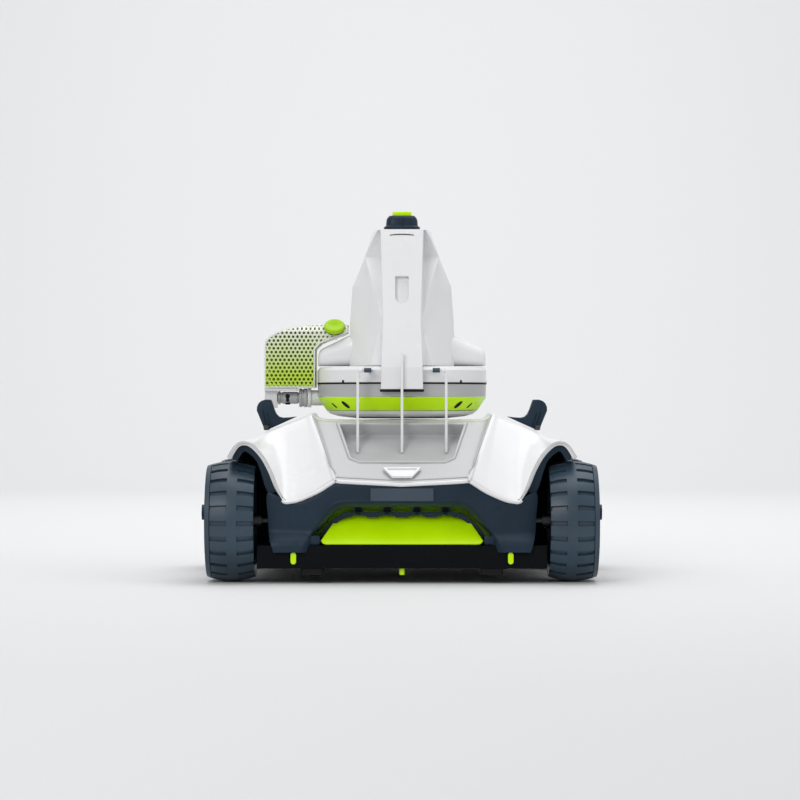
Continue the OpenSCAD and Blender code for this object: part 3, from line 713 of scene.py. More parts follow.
def build_mast():
    """White mast: straight lofted facets, a hollow beside the spine, soft edges and a flat top."""
    levels_each, cap_rows = 8, 3
    levels = levels_each * (len(MAST) - 1)
    around = RING_POINTS * 4

    def place(s, t):
        row = round(t * (levels + cap_rows))
        f = min(row / levels_each, len(MAST) - 1 - 1e-9)
        k = int(f)
        section = [mix(a, b, f - k) for a, b in zip(MAST[k], MAST[k + 1])]
        ring = mast_ring(section)
        g = (s * RING_POINTS) % RING_POINTS
        i = int(g + 1e-6)
        (ax, ay), (bx, by) = ring[i % RING_POINTS], ring[(i + 1) % RING_POINTS]
        x, y = mix(ax, bx, g - i), mix(ay, by, g - i)
        shrink = max(row - levels, 0) / cap_rows
        return (x * (1 - shrink), mix(y, -8, shrink), section[0])

    mast = sheet_from("mast_body", around, levels + cap_rows, place)
    close_holes(mast)
    round_edges(mast, 1.1, segments=3, angle=16)
    smooth(mast, 25)
    pods = [build_pod(side) for side in (-1, 1)]
    whole = join("mast_body", [mast] + pods)
    dress(whole, FINISH["white_shell"], CHASSIS, ["mast_shell"])


def build_pod(side):
    """One tapered shoulder pod with a softly rounded end."""
    columns = 48
    stations = [(26, 18.6), (40, 18.2), (52, 17.0), (60, 14.6), (70, 12.2), (80, 9.9), (84.5, 8.7),
                (86.2, 7.4),
                (86.9, 5.4), (86.9, 0.0)]

    def place(s, t):
        x, radius = stations[round(t * (len(stations) - 1))]
        turn = 2 * math.pi * s
        flat = 0.72
        cy = math.copysign(abs(math.cos(turn)) ** flat, math.cos(turn))
        cz = math.copysign(abs(math.sin(turn)) ** flat, math.sin(turn))
        floor = 216.2
        return (side * x, 4 + radius * 1.25 * cy, floor + radius + radius * cz)

    pod = sheet_from("pod", columns, len(stations) - 1, place)
    tidy_mesh(pod, 0.01)
    apply_modifier(pod, "SUBSURF", levels=1, render_levels=1)
    smooth(pod, 40)
    return pod


def build_spine_details():
    """Black bar as painted shade in the vent slot near the top of the spine, and a black bar at the spine's
    foot.
    """
    slot_z = 350.2
    points = []
    for i in range(13):
        x = mix(-12.2, 12.2, i / 12)
        points.append((x, spine_front(slot_z) - 0.05, slot_z - 0.9 * (x / 12.2) ** 2))
    vent = tube("vent_slot_shade", points, 0.55)
    dress(vent, FINISH["black_rubber"], CHASSIS)
    foot = block("spine_foot", (-22.3, -84.6, 189.2), (22.3, -78.6, 191.8))
    round_edges(foot, 0.6)
    smooth(foot)
    dress(foot, FINISH["black_rubber"], CHASSIS)


def spine_front(z):
    """Y of the spine's front face at height z."""
    return -71.4 + (z - 263) * 24.5 / 92.5


# ---------- turret ----------

TURRET_Y = 10
PORT_Z = 183.3
TURRET = Matrix.Translation((0, TURRET_Y, 0))


def build_jet_ring():
    """Lime ring that carries the jets, with a port cut for the collar."""
    profile = [(74, 170.2), (77.6, 170.2), (79, 170.9), (87.6, 183.4), (87.6, 184.2), (66, 184.2),
               (66, 182.2),
               (82.5, 182.2), (75.5, 172.6), (74, 172.6)]
    ring = turned("jet_ring_shell", profile, TURRET, 144)
    cut_with(ring, drum("port", 8.3, 40, Matrix.Translation((-85, TURRET_Y,
                                                             PORT_Z)) @ Matrix.Rotation(math.pi / 2, 4,
                                                                                        "Y")))
    smooth(ring, 30)
    dress(ring, FINISH["lime_plastic"], CHASSIS, ["jet_ring"])


JETS = [(44, 2.5, 5.4, 176.2), (57.5, 1.2, 4.0, 175.4)]


def build_jets():
    """Slanted black ovals in the jet mouths, in pairs round the lime ring: painted shade inside the jets."""
    flare = math.atan2(8.6, 12.5)
    mouth_shades = []
    for quarter in ((1, 0), (-1, 0), (1, 180), (-1, 180)):
        for angle, wide, tall, z in JETS:
            radius = 79 + (z - 170.9) * 8.6 / 12.5
            turn = math.radians(quarter[1]) + math.radians(angle) * quarter[0]
            lean = math.radians(40) * quarter[0]
            place = (TURRET @ Matrix.Rotation(turn, 4, "Z") @ Matrix.Translation((0, -radius, z))
                     @ Matrix.Rotation(math.pi / 2 + flare, 4, "X") @ Matrix.Rotation(-lean, 4, "Z"))
            mouth_shades.append(oval_plug(place, wide, tall))
    jets = join("jet_mouth_shade", mouth_shades)
    smooth(jets, 60)
    dress(jets, FINISH["black_rubber"], CHASSIS)


def oval_plug(place, wide, tall):
    """A shallow dished oval insert, standing 0.3 mm proud of the wall that it sits in."""
    plug = drum("plug", 1, 1, Matrix.Diagonal((wide, tall, 1, 1)), 28)
    in_edit(plug)
    choose_faces(plug, lambda centre, normal: normal.z > 0.9)
    bpy.ops.mesh.inset(thickness=0.5 * MM)
    bpy.ops.mesh.extrude_region_move(TRANSFORM_OT_translate={"value": (0, 0, -0.12 * MM)})
    bpy.ops.object.mode_set(mode="OBJECT")
    move = Matrix.Scale(MM, 4) @ place @ Matrix.Translation((0, 0, -0.2)) @ Matrix.Scale(1 / MM, 4)
    plug.data.transform(move)
    return plug


def build_shell_notches():
    """Small black discs in the screw wells along the turret's seam: painted shade inside the wells."""
    well_shades = []
    for angle in (-43, -2, 2, 43, 90, 137, 180, 223):
        place = (TURRET @ Matrix.Rotation(math.radians(angle), 4,
                                          "Z") @ Matrix.Translation((0, -87.5, 199.9))
                 @ Matrix.Rotation(math.pi / 2, 4, "X"))
        well_shade = drum("well_shade", 1.5, 1.4, place, 20)
        well_shades.append(well_shade)
    well_shades = join("seam_well_shade", well_shades)
    smooth(well_shades, 40)
    dress(well_shades, FINISH["black_rubber"], CHASSIS)


# ---------- wheels ----------

# Across the tread from its inner edge (-1) to its outer edge (1), with steep steps at the grooves' ends
TREAD = (-1, -0.985, -0.68, -0.345, -0.325, -0.1, 0.095, 0.115, 0.47, 0.775, 0.795, 0.81, 0.9, 0.985, 1)
RIB = (-0.335, 0.105)
SHOULDER = 0.785
PITCHES = 24
GROOVE = (0.345, 0.655)
STEPS = (0, 0.17, 0.34, 0.355, 0.5, 0.645, 0.66, 0.83)


def build_tyre(node, body):
    """Navy tyre with a centre rib, transverse grooves from both edges and a plain outer shoulder."""
    lo, hi = low(node), high(node)
    centre = middle(node)
    side = 1 if centre[0] > 0 else -1
    half = (hi[0] - lo[0]) / 2
    outer = (hi[2] - lo[2]) / 2 - 0.02
    crown, depth, bead_r = 4.5, 2.6, 44.1
    sidewall = [(1.0, 51.0), (0.96, 47.5), (0.955, bead_r)]
    profile = [(-a, r) for a, r in reversed(sidewall)] + [(a, None) for a in TREAD] + sidewall

    def place(s, t):
        a, radius = profile[round(s * (len(profile) - 1))]
        k = round(t * PITCHES * len(STEPS)) % (PITCHES * len(STEPS))
        phase = STEPS[k % len(STEPS)]
        turn = 2 * math.pi * (k // len(STEPS) + phase - 0.5) / PITCHES
        if radius is None:
            radius = outer - crown * a * a
            grooved = GROOVE[0] < phase < GROOVE[1]
            if grooved and abs(a) < 0.99 and (a < RIB[0] or RIB[1] < a < SHOULDER):
                radius -= depth
            if 0.79 < a < 0.80:
                radius -= 1.2
        return (centre[0] + side * a * half, centre[1] + radius * math.cos(turn),
                centre[2] + radius * math.sin(turn))

    tyre = sheet_from(node.replace("tyre", "tread"), len(profile) - 1, PITCHES * len(STEPS), place)
    close_holes(tyre, bridge=True)
    smooth(tyre, 28)
    dress(tyre, FINISH["tyre_rubber"], body, [node])


# ---------- mouth ----------

# Half outlines of the bumper, from the foot of a leg to the centre: mouth edge, face edge and outer edge
MOUTH_EDGE = [(92, 31), (87.4, 47.4), (82, 54.5), (75.5, 61.5), (71.5, 66), (66.5, 70.6), (60, 74.2),
              (52, 75.7),
              (30, 76.3), (0, 76.4)]
FACE_EDGE = [(103, 31), (95.5, 42), (87.5, 54), (79.6, 65.3), (75.4, 71), (70.4, 76.3), (64, 80), (55, 81.4),
             (30, 81.5), (0, 81.5)]
OUTER_EDGE = [(126, 31), (130.6, 47), (132, 66), (133, 87.5), (124.5, 86), (118, 79), (109, 78.4),
              (98, 81.3), (86, 86.6),
              (67, 98.1), (34, 96.4), (0, 94.6)]
BUMPER_FRONT = -148
FOOT_Y = low("catch_left")[1] - 1.9


def bumper_y(x):
    """Y of the bumper's swept front at x."""
    return BUMPER_FRONT + LIP_SWEEP * (x / 130) ** 2


def build_front_bumper():
    """Navy bumper: a face ruled between the mouth and the cover, with a chamfered mouth."""
    mouth_rows, face_rows = 5, 12
    rows = mouth_rows + face_rows + 2

    def place(s, t):
        along = 2 * s - 1
        f = 1 - abs(along)
        row = round(t * rows)
        m, e, o = [spline_at(line, f) for line in (MOUTH_EDGE, FACE_EDGE, OUTER_EDGE)]
        if row <= mouth_rows:
            w = row / mouth_rows
            x, z = [mix(p, q, w) for p, q in zip(m, e)]
            back = 8.5 * (1 - w) ** 1.5
        else:
            w = min((row - mouth_rows) / face_rows, 1)
            x, z = [mix(p, q, w) for p, q in zip(e, o)]
            back = 0.9 * (2 * w - 1) ** 4 + max(row - mouth_rows - face_rows, 0) * 3.0
        x = math.copysign(x, along) if along else 0
        foot = min(max((52 - z) / 14, 0), 1)
        return (x, mix(bumper_y(x), FOOT_Y, foot * foot * (3 - 2 * foot)) + back, z)

    face = sheet_from("bumper_face", 120, rows, place)
    apply_modifier(face, "SOLIDIFY", thickness=1.6 * MM, offset=0)
    tidy_mesh(face, 0.001)
    smooth(face, 40)
    linings = [build_arch_lining(side) for side in (-1, 1)]
    cheeks = [block("cheek", (min(a, b), -143, 37.8), (max(a, b), -133, 47)) for a,
              b in ((-92, -81.2), (81.2, 92))]
    for cheek in cheeks:
        round_edges(cheek, 1.2)
        smooth(cheek)
    whole = join("bumper_face", [face] + linings + cheeks)
    dress(whole, FINISH["navy_plastic"], CHASSIS, ["front_bumper"])


def under_cover(across, y, gap):
    """Point at a distance gap under the cover's outer face."""
    step = 0.004
    x, y0, z = cover_point(across, y)
    xa, _, za = cover_point(across - step, y)
    xb, _, zb = cover_point(across + step, y)
    run = math.hypot(xb - xa, zb - za)
    return (x + (zb - za) / run * gap, y0, z - (xb - xa) / run * gap)


def build_fender_shade_walls():
    """Walls under the fenders, in front of and behind the middle of the chassis, in black as painted shade
    in the wheel wells.
    """
    walls = []
    for side in (-1, 1):
        for y in (-44, 44):
            def place(s, t, y=y, side=side):
                x, _, z = under_cover(mix(5.2 / LIP_STEPS, 12.7 / LIP_STEPS, s), y, 3)
                return (side * x, y, mix(z, 60, t))
            wall = sheet_from("shade_wall", 30, 4, place)
            apply_modifier(wall, "SOLIDIFY", thickness=2 * MM, offset=0)
            walls.append(wall)
    whole = join("fender_shade_walls", walls)
    tidy_mesh(whole, 0.001)
    smooth(whole, 40)
    # Black here paints the shade inside the wheel wells.
    dress(whole, FINISH["black_plastic"], CHASSIS)


def build_arch_lining(side):
    """Navy lining inside the mouth of a fender, on one side."""
    section = [(3.0, -140.5), (8.6, -139.5), (9.4, -138), (9.4, -60), (3.0, -60)]
    first, last = 6.4 / LIP_STEPS, 12.9 / LIP_STEPS

    def place(s, t):
        gap, y = section[round(t * len(section)) % len(section)]
        if gap > 5:
            gap += 5.5 * max(1 - s / 0.35, 0)
        across = side * mix(first, last, s)
        x, y1, z = under_cover(abs(across), y, gap)
        return (side * x, y1, z)

    lining = sheet_from("arch_lining", 48, len(section), place)
    close_holes(lining)
    smooth(lining, 40)
    return lining


SUCTION_X = (-43.3, -14.7, 14.7, 43.3)
SUCTION_Z = 71.4


def scallop(x):
    """How far the comb's lower edge rises at x, round the suction holes."""
    near = min(abs(x - centre) for centre in SUCTION_X)
    return 4.6 * (0.5 + 0.5 * math.cos(math.pi * min(near / 8.5, 1))) ** 0.7


def build_comb():
    """Dark band that arches across the mouth, with a ring round each of the four suction holes."""
    y0, y1 = low("intake_comb")[1], high("intake_comb")[1]
    width = 5.2
    centre = [(84.2, 43), (80, 50), (75.5, 55.5), (70.5, 60.5), (66.2, 64.3), (62, 67), (57, 69.2),
              (50, 69.7),
              (30, 69.8), (0, 69.8)]

    def place(s, t):
        along = 2 * s - 1
        x, z = spline_at(centre, 1 - abs(along))
        xa, za = spline_at(centre, max(1 - abs(along) - 0.01, 0))
        xb, zb = spline_at(centre, min(1 - abs(along) + 0.01, 1))
        run = math.hypot(xb - xa, zb - za)
        taper = min((1 - abs(along)) / 0.25 + 0.35, 1)
        side = round(t * 4) % 4 in (0, 3)
        d = (width * taper - min(scallop(x), width - 0.4) * (abs(x) < 54)) if side else 0
        x, z = x - (zb - za) / run * d, z + (xb - xa) / run * d
        y = y0 if round(t * 4) % 4 in (0, 1) else y1
        return (math.copysign(x, along) if along else 0, y, z)

    comb = sheet_from("comb_plate", 200, 4, place)
    close_holes(comb)
    rings = [turned("ring", [(3.5, -2.6), (5.0, -2.6), (5.2, -2.2), (5.2, 2.2), (3.5, 2.2)],
                    Matrix.Translation((x, (y0 + y1) / 2, SUCTION_Z)) @ Matrix.Rotation(math.pi / 2, 4,
                                                                                        "X"), 32)
             for x in SUCTION_X]
    whole = join("comb_plate", [comb] + rings)
    smooth(whole, 40)
    dress(whole, FINISH["navy_plastic"], CHASSIS, ["intake_comb"])


def build_throat():
    """Lime throat: a back wall, a ramp with ridges below the suction holes, and side walls, all in the
    darker lime of painted shade.
    """
    back_y = high("intake_throat")[1] - 1

    def wall(s, t):
        along = 2 * s - 1
        x, z = spline_at(MOUTH_EDGE, 1 - abs(along))
        x, z = x * mix(1.006, 0.985, t), z + mix(0.5, -0.8, t)
        x = math.copysign(x, along) if along else 0
        return (x, mix(bumper_y(x) + 9.5, back_y, t), z)

    walls = sheet_from("throat", 100, 6, wall)
    apply_modifier(walls, "SOLIDIFY", thickness=1.2 * MM, offset=0)

    def ramp(s, t):
        x = mix(-1, 1, s) * mix(73, 56, t)
        z = mix(56, 70, t)
        near = min(abs(x - centre) for centre in SUCTION_X)
        ridge = 4.2 * max(1 - (near / mix(8, 4.6, t)) ** 2, 0) * min(t * 2, 1)
        return (x, mix(-117, -113, t) - ridge, z)

    floor = sheet_from("ramp", 160, 10, ramp)
    apply_modifier(floor, "SOLIDIFY", thickness=1.2 * MM, offset=0)
    back = block("back", (-86, back_y - 1, 44), (86, back_y, 78))
    throat = join("throat", [walls, floor, back])
    smooth(throat, 40)
    dress(throat, FINISH["painted_shade_lime"], CHASSIS, ["intake_throat"])
    # Black plugs in the four suction holes: painted shade inside the holes.
    hole_shades = [drum("hole_shade", 3.6, 9, Matrix.Translation((x, -117.6, SUCTION_Z)) @ Matrix.Rotation(math.pi / 2,
                                                                                               4, "X"), 32)
             for x in SUCTION_X]
    holes = join("suction_hole_shade", hole_shades)
    smooth(holes, 40)
    dress(holes, FINISH["black_rubber"], CHASSIS)


FLAP_HINGE = (0, -138, 41.5)
FLAP_TILT = 46


def build_flap():
    """Lime intake flap with rounded front corners and a hinge barrel."""
    hinge = Vector(FLAP_HINGE)
    tilt = math.radians(FLAP_TILT)
    corner = 5.5
    outline = [(63.2, 32), (-63.2, 32)]
    arc = [math.pi / 2 * i / 6 for i in range(7)]
    outline += [(-74.3 - corner * math.cos(a), -0.7 - corner * math.sin(a)) for a in arc]
    outline += [(-x, y) for x, y in reversed(outline[2:])]

    def to_space(a, b, d):
        return hinge + Vector((a, b * math.cos(tilt) - (d + 1.0) * math.sin(tilt),
                               b * math.sin(tilt) + (d + 1.0) * math.cos(tilt)))

    plate = slab("flap_plate", outline, to_space, 2.2)
    round_edges(plate, 0.9, segments=3)
    smooth(plate, 35)
    barrel = drum("barrel", 2.9, 153, Matrix.Translation(hinge) @ Matrix.Rotation(math.pi / 2, 4, "Y"), 32)
    flap = join("flap_plate", [plate, barrel])
    dress(flap, FINISH["lime_plastic"], "flap", ["intake_flap"])


# ---------- levers and cap ----------

LEVER = [(107.5, 164.2), (116, 163.2), (122, 162.9), (125.8, 163.8), (128.6, 166.4), (130.6, 170.4),
         (134.4, 181.4),
         (140.5, 181.4), (144.2, 180.1), (147, 177.6), (148.6, 174), (148.8, 170.2), (142.0, 153.5),
         (141.9, 151.8),
         (140.6, 150.2), (138.6, 149.7), (136.6, 151.0)]


def build_lever(side, node, body):
    """Latch lever with two tapered grooves in each face."""
    y0, y1 = low(node)[1], high(node)[1]
    outline = [(side * x, z) for x, z in LEVER]
    lever = slab("latch_" + ("right" if side > 0 else "left"), outline, lambda a, b, d: (a, y0 + d, b),
                 y1 - y0)
    round_edges(lever, 1.3, segments=3, angle=38)
    for x, tall in ((137.4, 17), (133.8, 15)):
        for y in (y0, y1):
            wedge = slab("groove", [(-1.6, 0), (1.6, 0), (0.3, tall), (-0.3, tall)],
                         lambda a, b, d: (side * (x + a + b * 0.30), y - 1.2 + d, 153.4 + b), 2.4)
            cut_with(lever, wedge)
    smooth(lever, 35)
    dress(lever, FINISH["navy_plastic"], body, [node])


def build_cap():
    """Navy cap: flared foot, waisted body, chamfered top, rib on its front, and a pocket for the tab."""
    x, y = middle("top_cap")[:2]
    foot = low("top_cap")[2] + 8.5
    levels = [(17.2, 23.4, 0.2), (18.7, 24, 0.9), (18.7, 24, 3.0), (16.6, 21.8, 4.6), (16.0, 21.4, 10.8),
              (15.2, 20.6, 12.6),
              (13.4, 18.8, 14.6), (12.6, 18, 14.9)]

    def place(s, t):
        row = round(t * (len(levels) + 1))
        hx, hy, up = levels[min(max(row - 1, 0), len(levels) - 1)]
        if row in (0, len(levels) + 1):
            return (x, y, foot + up)
        turn = 2 * math.pi * s
        power = 0.42
        px = math.copysign(abs(math.cos(turn)) ** power, math.cos(turn)) * hx
        py = math.copysign(abs(math.sin(turn)) ** power, math.sin(turn)) * hy
        return (x + px, y + py, foot + up)

    cap = sheet_from("cap_body", 64, len(levels) + 1, place)
    tidy_mesh(cap, 0.01)
    pocket = block("pocket", (x - 10.1, y - 14.3, foot + 7.6), (x + 10.1, y + 14.3, foot + 20))
    cut_with(cap, pocket)
    smooth(cap, 25)
    rib = block("rib", (x - 1.6, y - 23.2, foot + 2), (x + 1.6, y - 20.2, foot + 13.2))
    round_edges(rib, 0.8, segments=3)
    smooth(rib)
    whole = join("cap_body", [cap, rib])
    dress(whole, FINISH["navy_plastic"], "cap", ["top_cap"])


def build_tab():
    """Lime release tab with a flat, round-edged top and grip ridges."""
    lo, hi = low("release_tab"), high("release_tab")
    tab = block("tab_button", lo, (hi[0], hi[1], hi[2] - 0.7))
    ridges = [tab]
    for i in range(4):
        y = mix(lo[1] + 5, hi[1] - 5, i / 3)
        ridges.append(block("ridge", (lo[0] + 2.4, y - 0.8, hi[2] - 1),
                            (hi[0] - 2.4, y + 0.8, hi[2] - 0.05)))
    for piece in ridges:
        round_edges(piece, 0.8 if piece is tab else 0.35, segments=3)
        smooth(piece)
    whole = join("tab_button", ridges)
    dress(whole, FINISH["lime_plastic"], "tab", ["release_tab"])


# ---------- basket ----------

BEND_Z = 237
BASKET_STEP = -89.8
KNOB = Matrix.Translation((-70, -3, 254.6)) @ Matrix.Rotation(math.radians(40), 4, "X")


def basket_top(x):
    """Height of the basket's top edge at x."""
    left, top = low("mesh_basket")[0], high("mesh_basket")[2]
    if x > -84:
        return top
    f = (x + 84) / (left + 84)
    return BEND_Z + (top - BEND_Z) * math.sqrt(max(1 - f * f, 0))


def basket_left(z):
    """X of the basket's left edge at height z."""
    left, top = low("mesh_basket")[0], high("mesh_basket")[2]
    if z < BEND_Z:
        return left
    f = (z - BEND_Z) / (top - BEND_Z)
    return -84 + (left + 84) * math.sqrt(max(1 - f * f, 0))


def basket_right(z):
    """X of the basket's right edge at height z: it leans over the shoulder pod."""
    if z < 234:
        return BASKET_STEP
    if z < 239.3:
        return mix(BASKET_STEP, -84.5, (z - 234) / 5.3)
    return mix(-84.5, -56, min((z - 239.3) / 11.2, 1))


def basket_front(z, y):
    """Y of the front face, which leans back near its top to seat the knob."""
    return max(y, -3 + (z - 255.5) / math.tan(math.radians(40)) + 1.2) if y < 0 else y


def ring_area(ring):
    """Area in mm2 inside a ring of vertices."""
    at = [v.co / MM for v in ring]
    return sum((a.cross(b) for a, b in zip(at, at[1:] + at[:1])), Vector()).length / 2


def drop_spikes(sheet, longest):
    """Deletes the faces that have an edge over longest mm, which insetting a thin border cell can leave."""
    mesh = bmesh.new()
    mesh.from_mesh(sheet.data)
    spikes = {face for edge in mesh.edges if edge.calc_length() > longest * MM for face in edge.link_faces}
    bmesh.ops.delete(mesh, geom=list(spikes), context="FACES")
    mesh.to_mesh(sheet.data)
    mesh.free()


def pierced(name, columns, rows, place, wall):
    """A sheet of six-sided holes in staggered rows, laid over place(s, t) and thickened by wall."""
    mesh = bmesh.new()
    points = {}

    def corner(i, j):
        """Lattice corner: i counts half columns, and j counts thirds of a row."""
        s, t = min(max(i / (2 * columns), 0), 1), min(max(j / (3 * rows), 0), 1)
        at = tuple(round(c, 4) for c in place(s, t))
        if at not in points:
            points[at] = mesh.verts.new(Vector(at) * MM)
        return points[at]

    for row in range(rows + 1):
        for column in range(columns + 1):
            i, j = 2 * column + row % 2, 3 * row
            ring = [corner(i + a, j + b) for a, b in ((0, -2), (1, -1), (1, 1), (0, 2), (-1, 1), (-1, -1))]
            ring = [v for k, v in enumerate(ring) if v is not ring[k - 1]]
            if len(set(ring)) == len(ring) > 2 and ring_area(ring) > 2 and not mesh.faces.get(ring):
                mesh.faces.new(ring)
    data = bpy.data.meshes.new(name)
    mesh.to_mesh(data)
    mesh.free()
    sheet = bpy.data.objects.new(name, data)
    bpy.context.collection.objects.link(sheet)
    in_edit(sheet)
    bpy.ops.mesh.select_all(action="SELECT")
    bpy.ops.mesh.inset(thickness=0.36, use_relative_offset=True, use_individual=True)
    bpy.ops.mesh.delete(type="FACE")
    bpy.ops.object.mode_set(mode="OBJECT")
    drop_spikes(sheet, 6.5)
    apply_modifier(sheet, "SOLIDIFY", thickness=wall * MM, offset=0)
    return sheet


def build_basket():
    """Pierced lime basket: front, back, a rim wall over the top, and a wall over the pod."""
    lo, hi = low("mesh_basket"), high("mesh_basket")
    wall, edge = 1.0, 0.9
    faces_y = (lo[1] + wall, hi[1] - wall)
    z0, z1 = lo[2] + edge, hi[2] - edge

    def side(s, t, y):
        x, z = mix(lo[0] + edge, hi[0] - edge, s), mix(z0, z1, t)
        z = min(z, basket_top(max(x, lo[0])) - edge)
        x = min(max(x, basket_left(z) + edge), basket_right(z) - edge)
        return (x, basket_front(z, y), z)

    pieces = [pierced("side", 19, 16, lambda s, t, y=y: side(s, t, y), wall) for y in faces_y]
    turns = [math.pi / 2 * i / 16 for i in range(17)]
    arc = [(mix(-84, lo[0], math.cos(a)), mix(BEND_Z, hi[2], math.sin(a))) for a in turns]
    rim_line = [(lo[0], lo[2])] + arc + [(hi[0], hi[2])]

    def rim(s, t):
        x, z = point_along(rim_line, s)
        x, z = max(x, lo[0] + edge), min(z, hi[2] - edge)
        return (x, mix(basket_front(z, faces_y[0]), faces_y[1], t), z)

    def inner(s, t):
        z = mix(z0, 250.5, s)
        return (basket_right(z) - edge, mix(faces_y[0], faces_y[1], t), z + edge * (z > 239))

    def end(s, t):
        z = mix(251.4, z1, t)
        return (hi[0] - edge, mix(basket_front(z, faces_y[0]), faces_y[1], s), z)

    pieces.append(pierced("rim", 25, 18, rim, wall))
    pieces.append(pierced("inner", 13, 18, inner, wall))
    pieces.append(pierced("end", 10, 2, end, wall))
    mesh = join("basket_mesh", pieces)
    dress(mesh, FINISH["lime_mesh"], "basket", ["mesh_basket"])

    outline = [(basket_left(z) + edge, z) for z in (z0, 215, BEND_Z)]
    outline += [(x + edge * (1 - i / 17), z - edge * i / 17) for i, (x, z) in enumerate(arc)][1:]
    outline += [(hi[0] - edge, z1), (hi[0] - edge, 251.4), (-84.5 - edge, 240.2), (BASKET_STEP - edge, 234),
                (BASKET_STEP - edge, z0)]
    bars = [tube("bar", [(x, basket_front(z, y), z) for x, z in outline], 0.85, closed=True, sides=8)
            for y in faces_y]
    rail = block("rail", (lo[0] + 0.1, lo[1] + 0.1, lo[2]), (BASKET_STEP, hi[1] - 0.1, lo[2] + 1.3))
    round_edges(rail, 0.4)
    frame_bars = join("basket_rim", bars + [rail])
    smooth(frame_bars, 50)
    dress(frame_bars, FINISH["white_shell"], "basket")


def point_along(line, s):
    """Point at share s of the length of a line of points."""
    lengths = [0]
    for a, b in zip(line, line[1:]):
        lengths.append(lengths[-1] + math.dist(a, b))
    distance = s * lengths[-1]
    for a, b, start, stop in zip(line, line[1:], lengths, lengths[1:]):
        if distance <= stop:
            return [mix(p, q, (distance - start) / max(stop - start, 1e-9)) for p, q in zip(a, b)]
    return line[-1]


def build_liner():
    """Fine filter bag inside the basket, slack between its frame edges."""
    lo, hi = low("basket_liner"), high("basket_liner")
    bag = block("liner_bag", lo, hi)
    in_edit(bag)
    bpy.ops.mesh.select_all(action="SELECT")
    bpy.ops.mesh.subdivide(number_cuts=11)
    bpy.ops.object.mode_set(mode="OBJECT")
    size = [b - a for a, b in zip(lo, hi)]
    for vertex in bag.data.vertices:
        x, y, z = vertex.co / MM
        fx, fy, fz = [(c - a) / b for c, a, b in zip((x, y, z), lo, size)]
        top = min(hi[2], basket_top(x) - 5)
        z = lo[2] + (z - lo[2]) * (top - lo[2]) / size[2]
        slack = 1.6 * math.sin(math.pi * fx) * math.sin(math.pi * fz)
        y += (0.5 - fy) * 2 * slack + 0.5 * math.sin(9 * fx + 5 * fz)
        vertex.co = Vector((x, y, z)) * MM
    smooth(bag, 60)
    dress(bag, FINISH["liner_mesh"], "basket", ["basket_liner"])


def build_knob():
    """Lime knob with a dished face, a centre dimple and grip flutes."""
    place = KNOB
    profile = [(0, 0.4), (9.6, 0.4), (10.2, 1.0), (10.85, 2.0), (10.85, 4.0), (10.3, 5.2), (9.0, 5.9),
               (7.6, 5.9),
               (6.6, 5.4), (3.2, 5.0), (2.6, 4.6), (1.6, 4.2), (0, 4.2)]
    knob = turned("knob_body", profile, place, 72)
    for i in range(12):
        turn = Matrix.Rotation(2 * math.pi * i / 12, 4, "Z")
        cut_with(knob, drum("flute", 1.1, 4.4, place @ turn @ Matrix.Translation((11.4, 0, 3.0)), 14))
    smooth(knob, 35)
    skirt = drum("skirt", 9.4, 1.1, place @ Matrix.Translation((0, 0, -0.1)), 48)
    stem = drum("stem", 3, 4, place @ Matrix.Translation((0, 0, -2)), 24)
    # The knob takes the darker lime that paints the throat's shade.
    dress(knob, FINISH["painted_shade_lime"], "knob", ["basket_knob"])
    under = join("knob_skirt", [skirt, stem])
    smooth(under, 40)
    dress(under, FINISH["black_rubber"], "knob")


def build_collar():
    """Pale twist collar with end rings, a black keyhole slot painted as shade, and a black latch bump."""
    axis = Matrix.Translation((0, TURRET_Y, PORT_Z)) @ Matrix.Rotation(math.pi / 2, 4, "Y")
    profile = [(4.5, -129), (6.7, -129), (6.8, -128.6), (6.8, -126.8), (5.6, -126.4), (5.6, -124.6),
               (6.3, -124.2),
               (6.3, -109), (5.6, -108.4), (5.6, -107.2), (9.2, -107), (9.7, -106.5), (9.7, -104.6),
               (9.0, -104.2),
               (9.0, -102.6), (9.7, -102.2), (9.7, -99), (9.3, -98.5), (4.5, -98.5)]
    collar = turned("collar_drum", profile, axis, 64)
    smooth(collar, 30)
    dress(collar, FINISH["silver_panel"], "collar", ["coupling_collar"])
    # Black keyhole and its shank: painted shade inside the keyhole slot.
    keyhole = drum("keyhole", 2.4, 1.2, Matrix.Translation((-119, 4.1,
                                                            184.8)) @ Matrix.Rotation(math.pi / 2, 4,
                                                                                      "X"), 24)
    shank = block("shank", (-120.6, 3.6, 179), (-117.4, 5.0, 184))
    bump = block("bump", (-121.5, 6, 176.2), (-116.5, 14, 178.4))
    for piece in (shank, bump):
        round_edges(piece, 0.5)
    latch = join("collar_keyhole_shade_and_latch", [keyhole, shank, bump])
    smooth(latch, 40)
    dress(latch, FINISH["black_rubber"], "collar")


# ---------- floor, light and camera ----------

def build_stage():
    """Pale floor that sweeps up behind the object."""
    def place(s, t):
        x = mix(-6000, 6000, s)
        run = t * 9000 - 3000
        bend = 2600
        radius = 1200
        if run < bend:
            return (x, run, 0)
        turn = min((run - bend) / radius, math.pi / 2)
        rise = max(run - bend - radius * math.pi / 2, 0)
        return (x, bend + radius * math.sin(turn), radius * (1 - math.cos(turn)) + rise * 3)
    floor = sheet_from("studio_floor", 4, 120, place)
    smooth(floor, 60)
    material = bpy.data.materials.new("studio_floor")
    material.use_nodes = True
    surface = material.node_tree.nodes["Principled BSDF"]
    surface.inputs["Base Color"].default_value = (0.74, 0.74, 0.745, 1)
    surface.inputs["Roughness"].default_value = 0.75
    floor.data.materials.append(material)


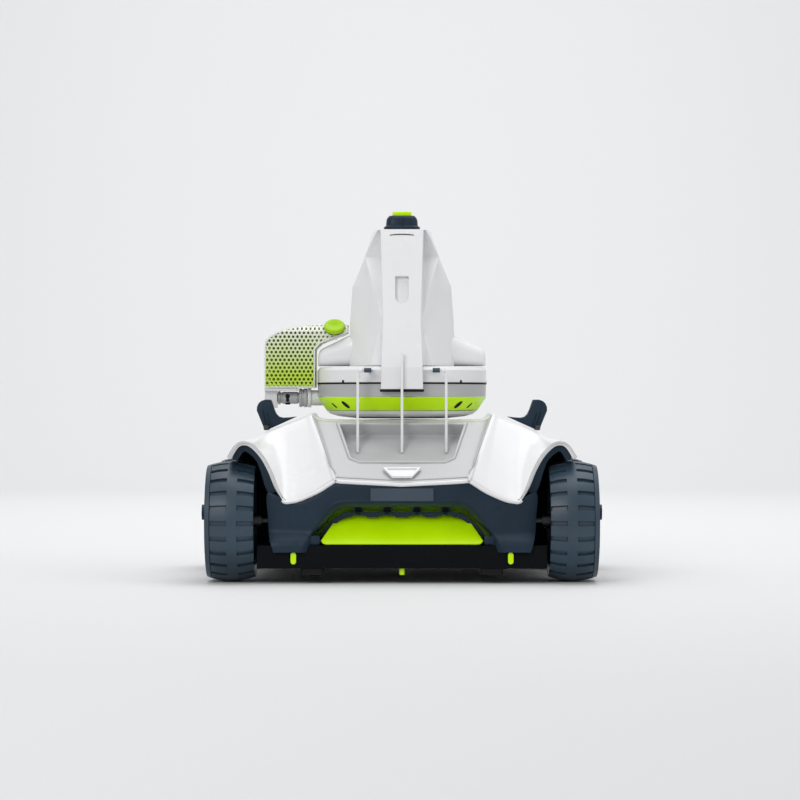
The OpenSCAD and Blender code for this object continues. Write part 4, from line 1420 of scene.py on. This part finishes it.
def area_light(name, place, aim, size, power, colour=(1, 1, 1)):
    light = bpy.data.lights.new(name, "AREA")
    light.shape = "RECTANGLE"
    light.size, light.size_y = size
    light.energy = power
    light.color = colour
    obj = bpy.data.objects.new(name, light)
    bpy.context.collection.objects.link(obj)
    obj.location = place
    obj.rotation_euler = (Vector(aim) - Vector(place)).to_track_quat("-Z", "Y").to_euler()


def build_light():
    """Soft boxes above, at the front left, at the right side and over the backdrop, with a pale surround."""
    area_light("top_box", (0.1, 0.1, 1.9), (0, 0, 0.1), (1.6, 1.6), 17)
    area_light("front_box", (-1.2, -2.3, 1.5), (0, 0, 0.2), (1.2, 1.0), 21)
    area_light("right_box", (1.9, -0.9, 1.0), (0, 0, 0.2), (0.8, 1.4), 5)
    area_light("backdrop_box", (0, 1.4, 2.6), (0, 3.6, 0.5), (3.0, 1.0), 48)
    world = bpy.data.worlds.new("surround")
    world.use_nodes = True
    world.node_tree.nodes["Background"].inputs["Color"].default_value = (0.97, 0.98, 1.0, 1)
    world.node_tree.nodes["Background"].inputs["Strength"].default_value = 0.55
    bpy.context.scene.world = world
    bpy.context.scene.view_settings.view_transform = "Standard"


def build_camera():
    """Level view from the front, 2.67 m from the front wheels, at 182 mm above the floor."""
    distance = 2.67
    camera = bpy.data.cameras.new("front_view")
    camera.sensor_width = 36
    camera.lens = 36 * distance / 0.8
    obj = bpy.data.objects.new("front_view", camera)
    bpy.context.collection.objects.link(obj)
    axle_y = (low("tyre_front_left")[1] + high("tyre_front_left")[1]) / 2 * MM
    obj.location = (-0.002, axle_y - distance, 0.181)
    obj.rotation_euler = (math.pi / 2, 0, 0)
    bpy.context.scene.camera = obj


dress_cad_nodes()
build_cover()
build_lip_bead()
build_deck_panel()
build_mast()
build_spine_details()
build_jet_ring()
build_jets()
build_shell_notches()
for row in ("front", "rear"):
    for hand in ("left", "right"):
        build_tyre("tyre_%s_%s" % (row, hand), "wheel_%s_%s" % (row, hand))
build_front_bumper()
build_comb()
build_throat()
build_fender_shade_walls()
build_flap()
build_lever(-1, "lever_left", "latch_lever_left")
build_lever(1, "lever_right", "latch_lever_right")
build_cap()
build_tab()
build_basket()
build_liner()
build_knob()
build_collar()
build_stage()
build_light()
build_camera()
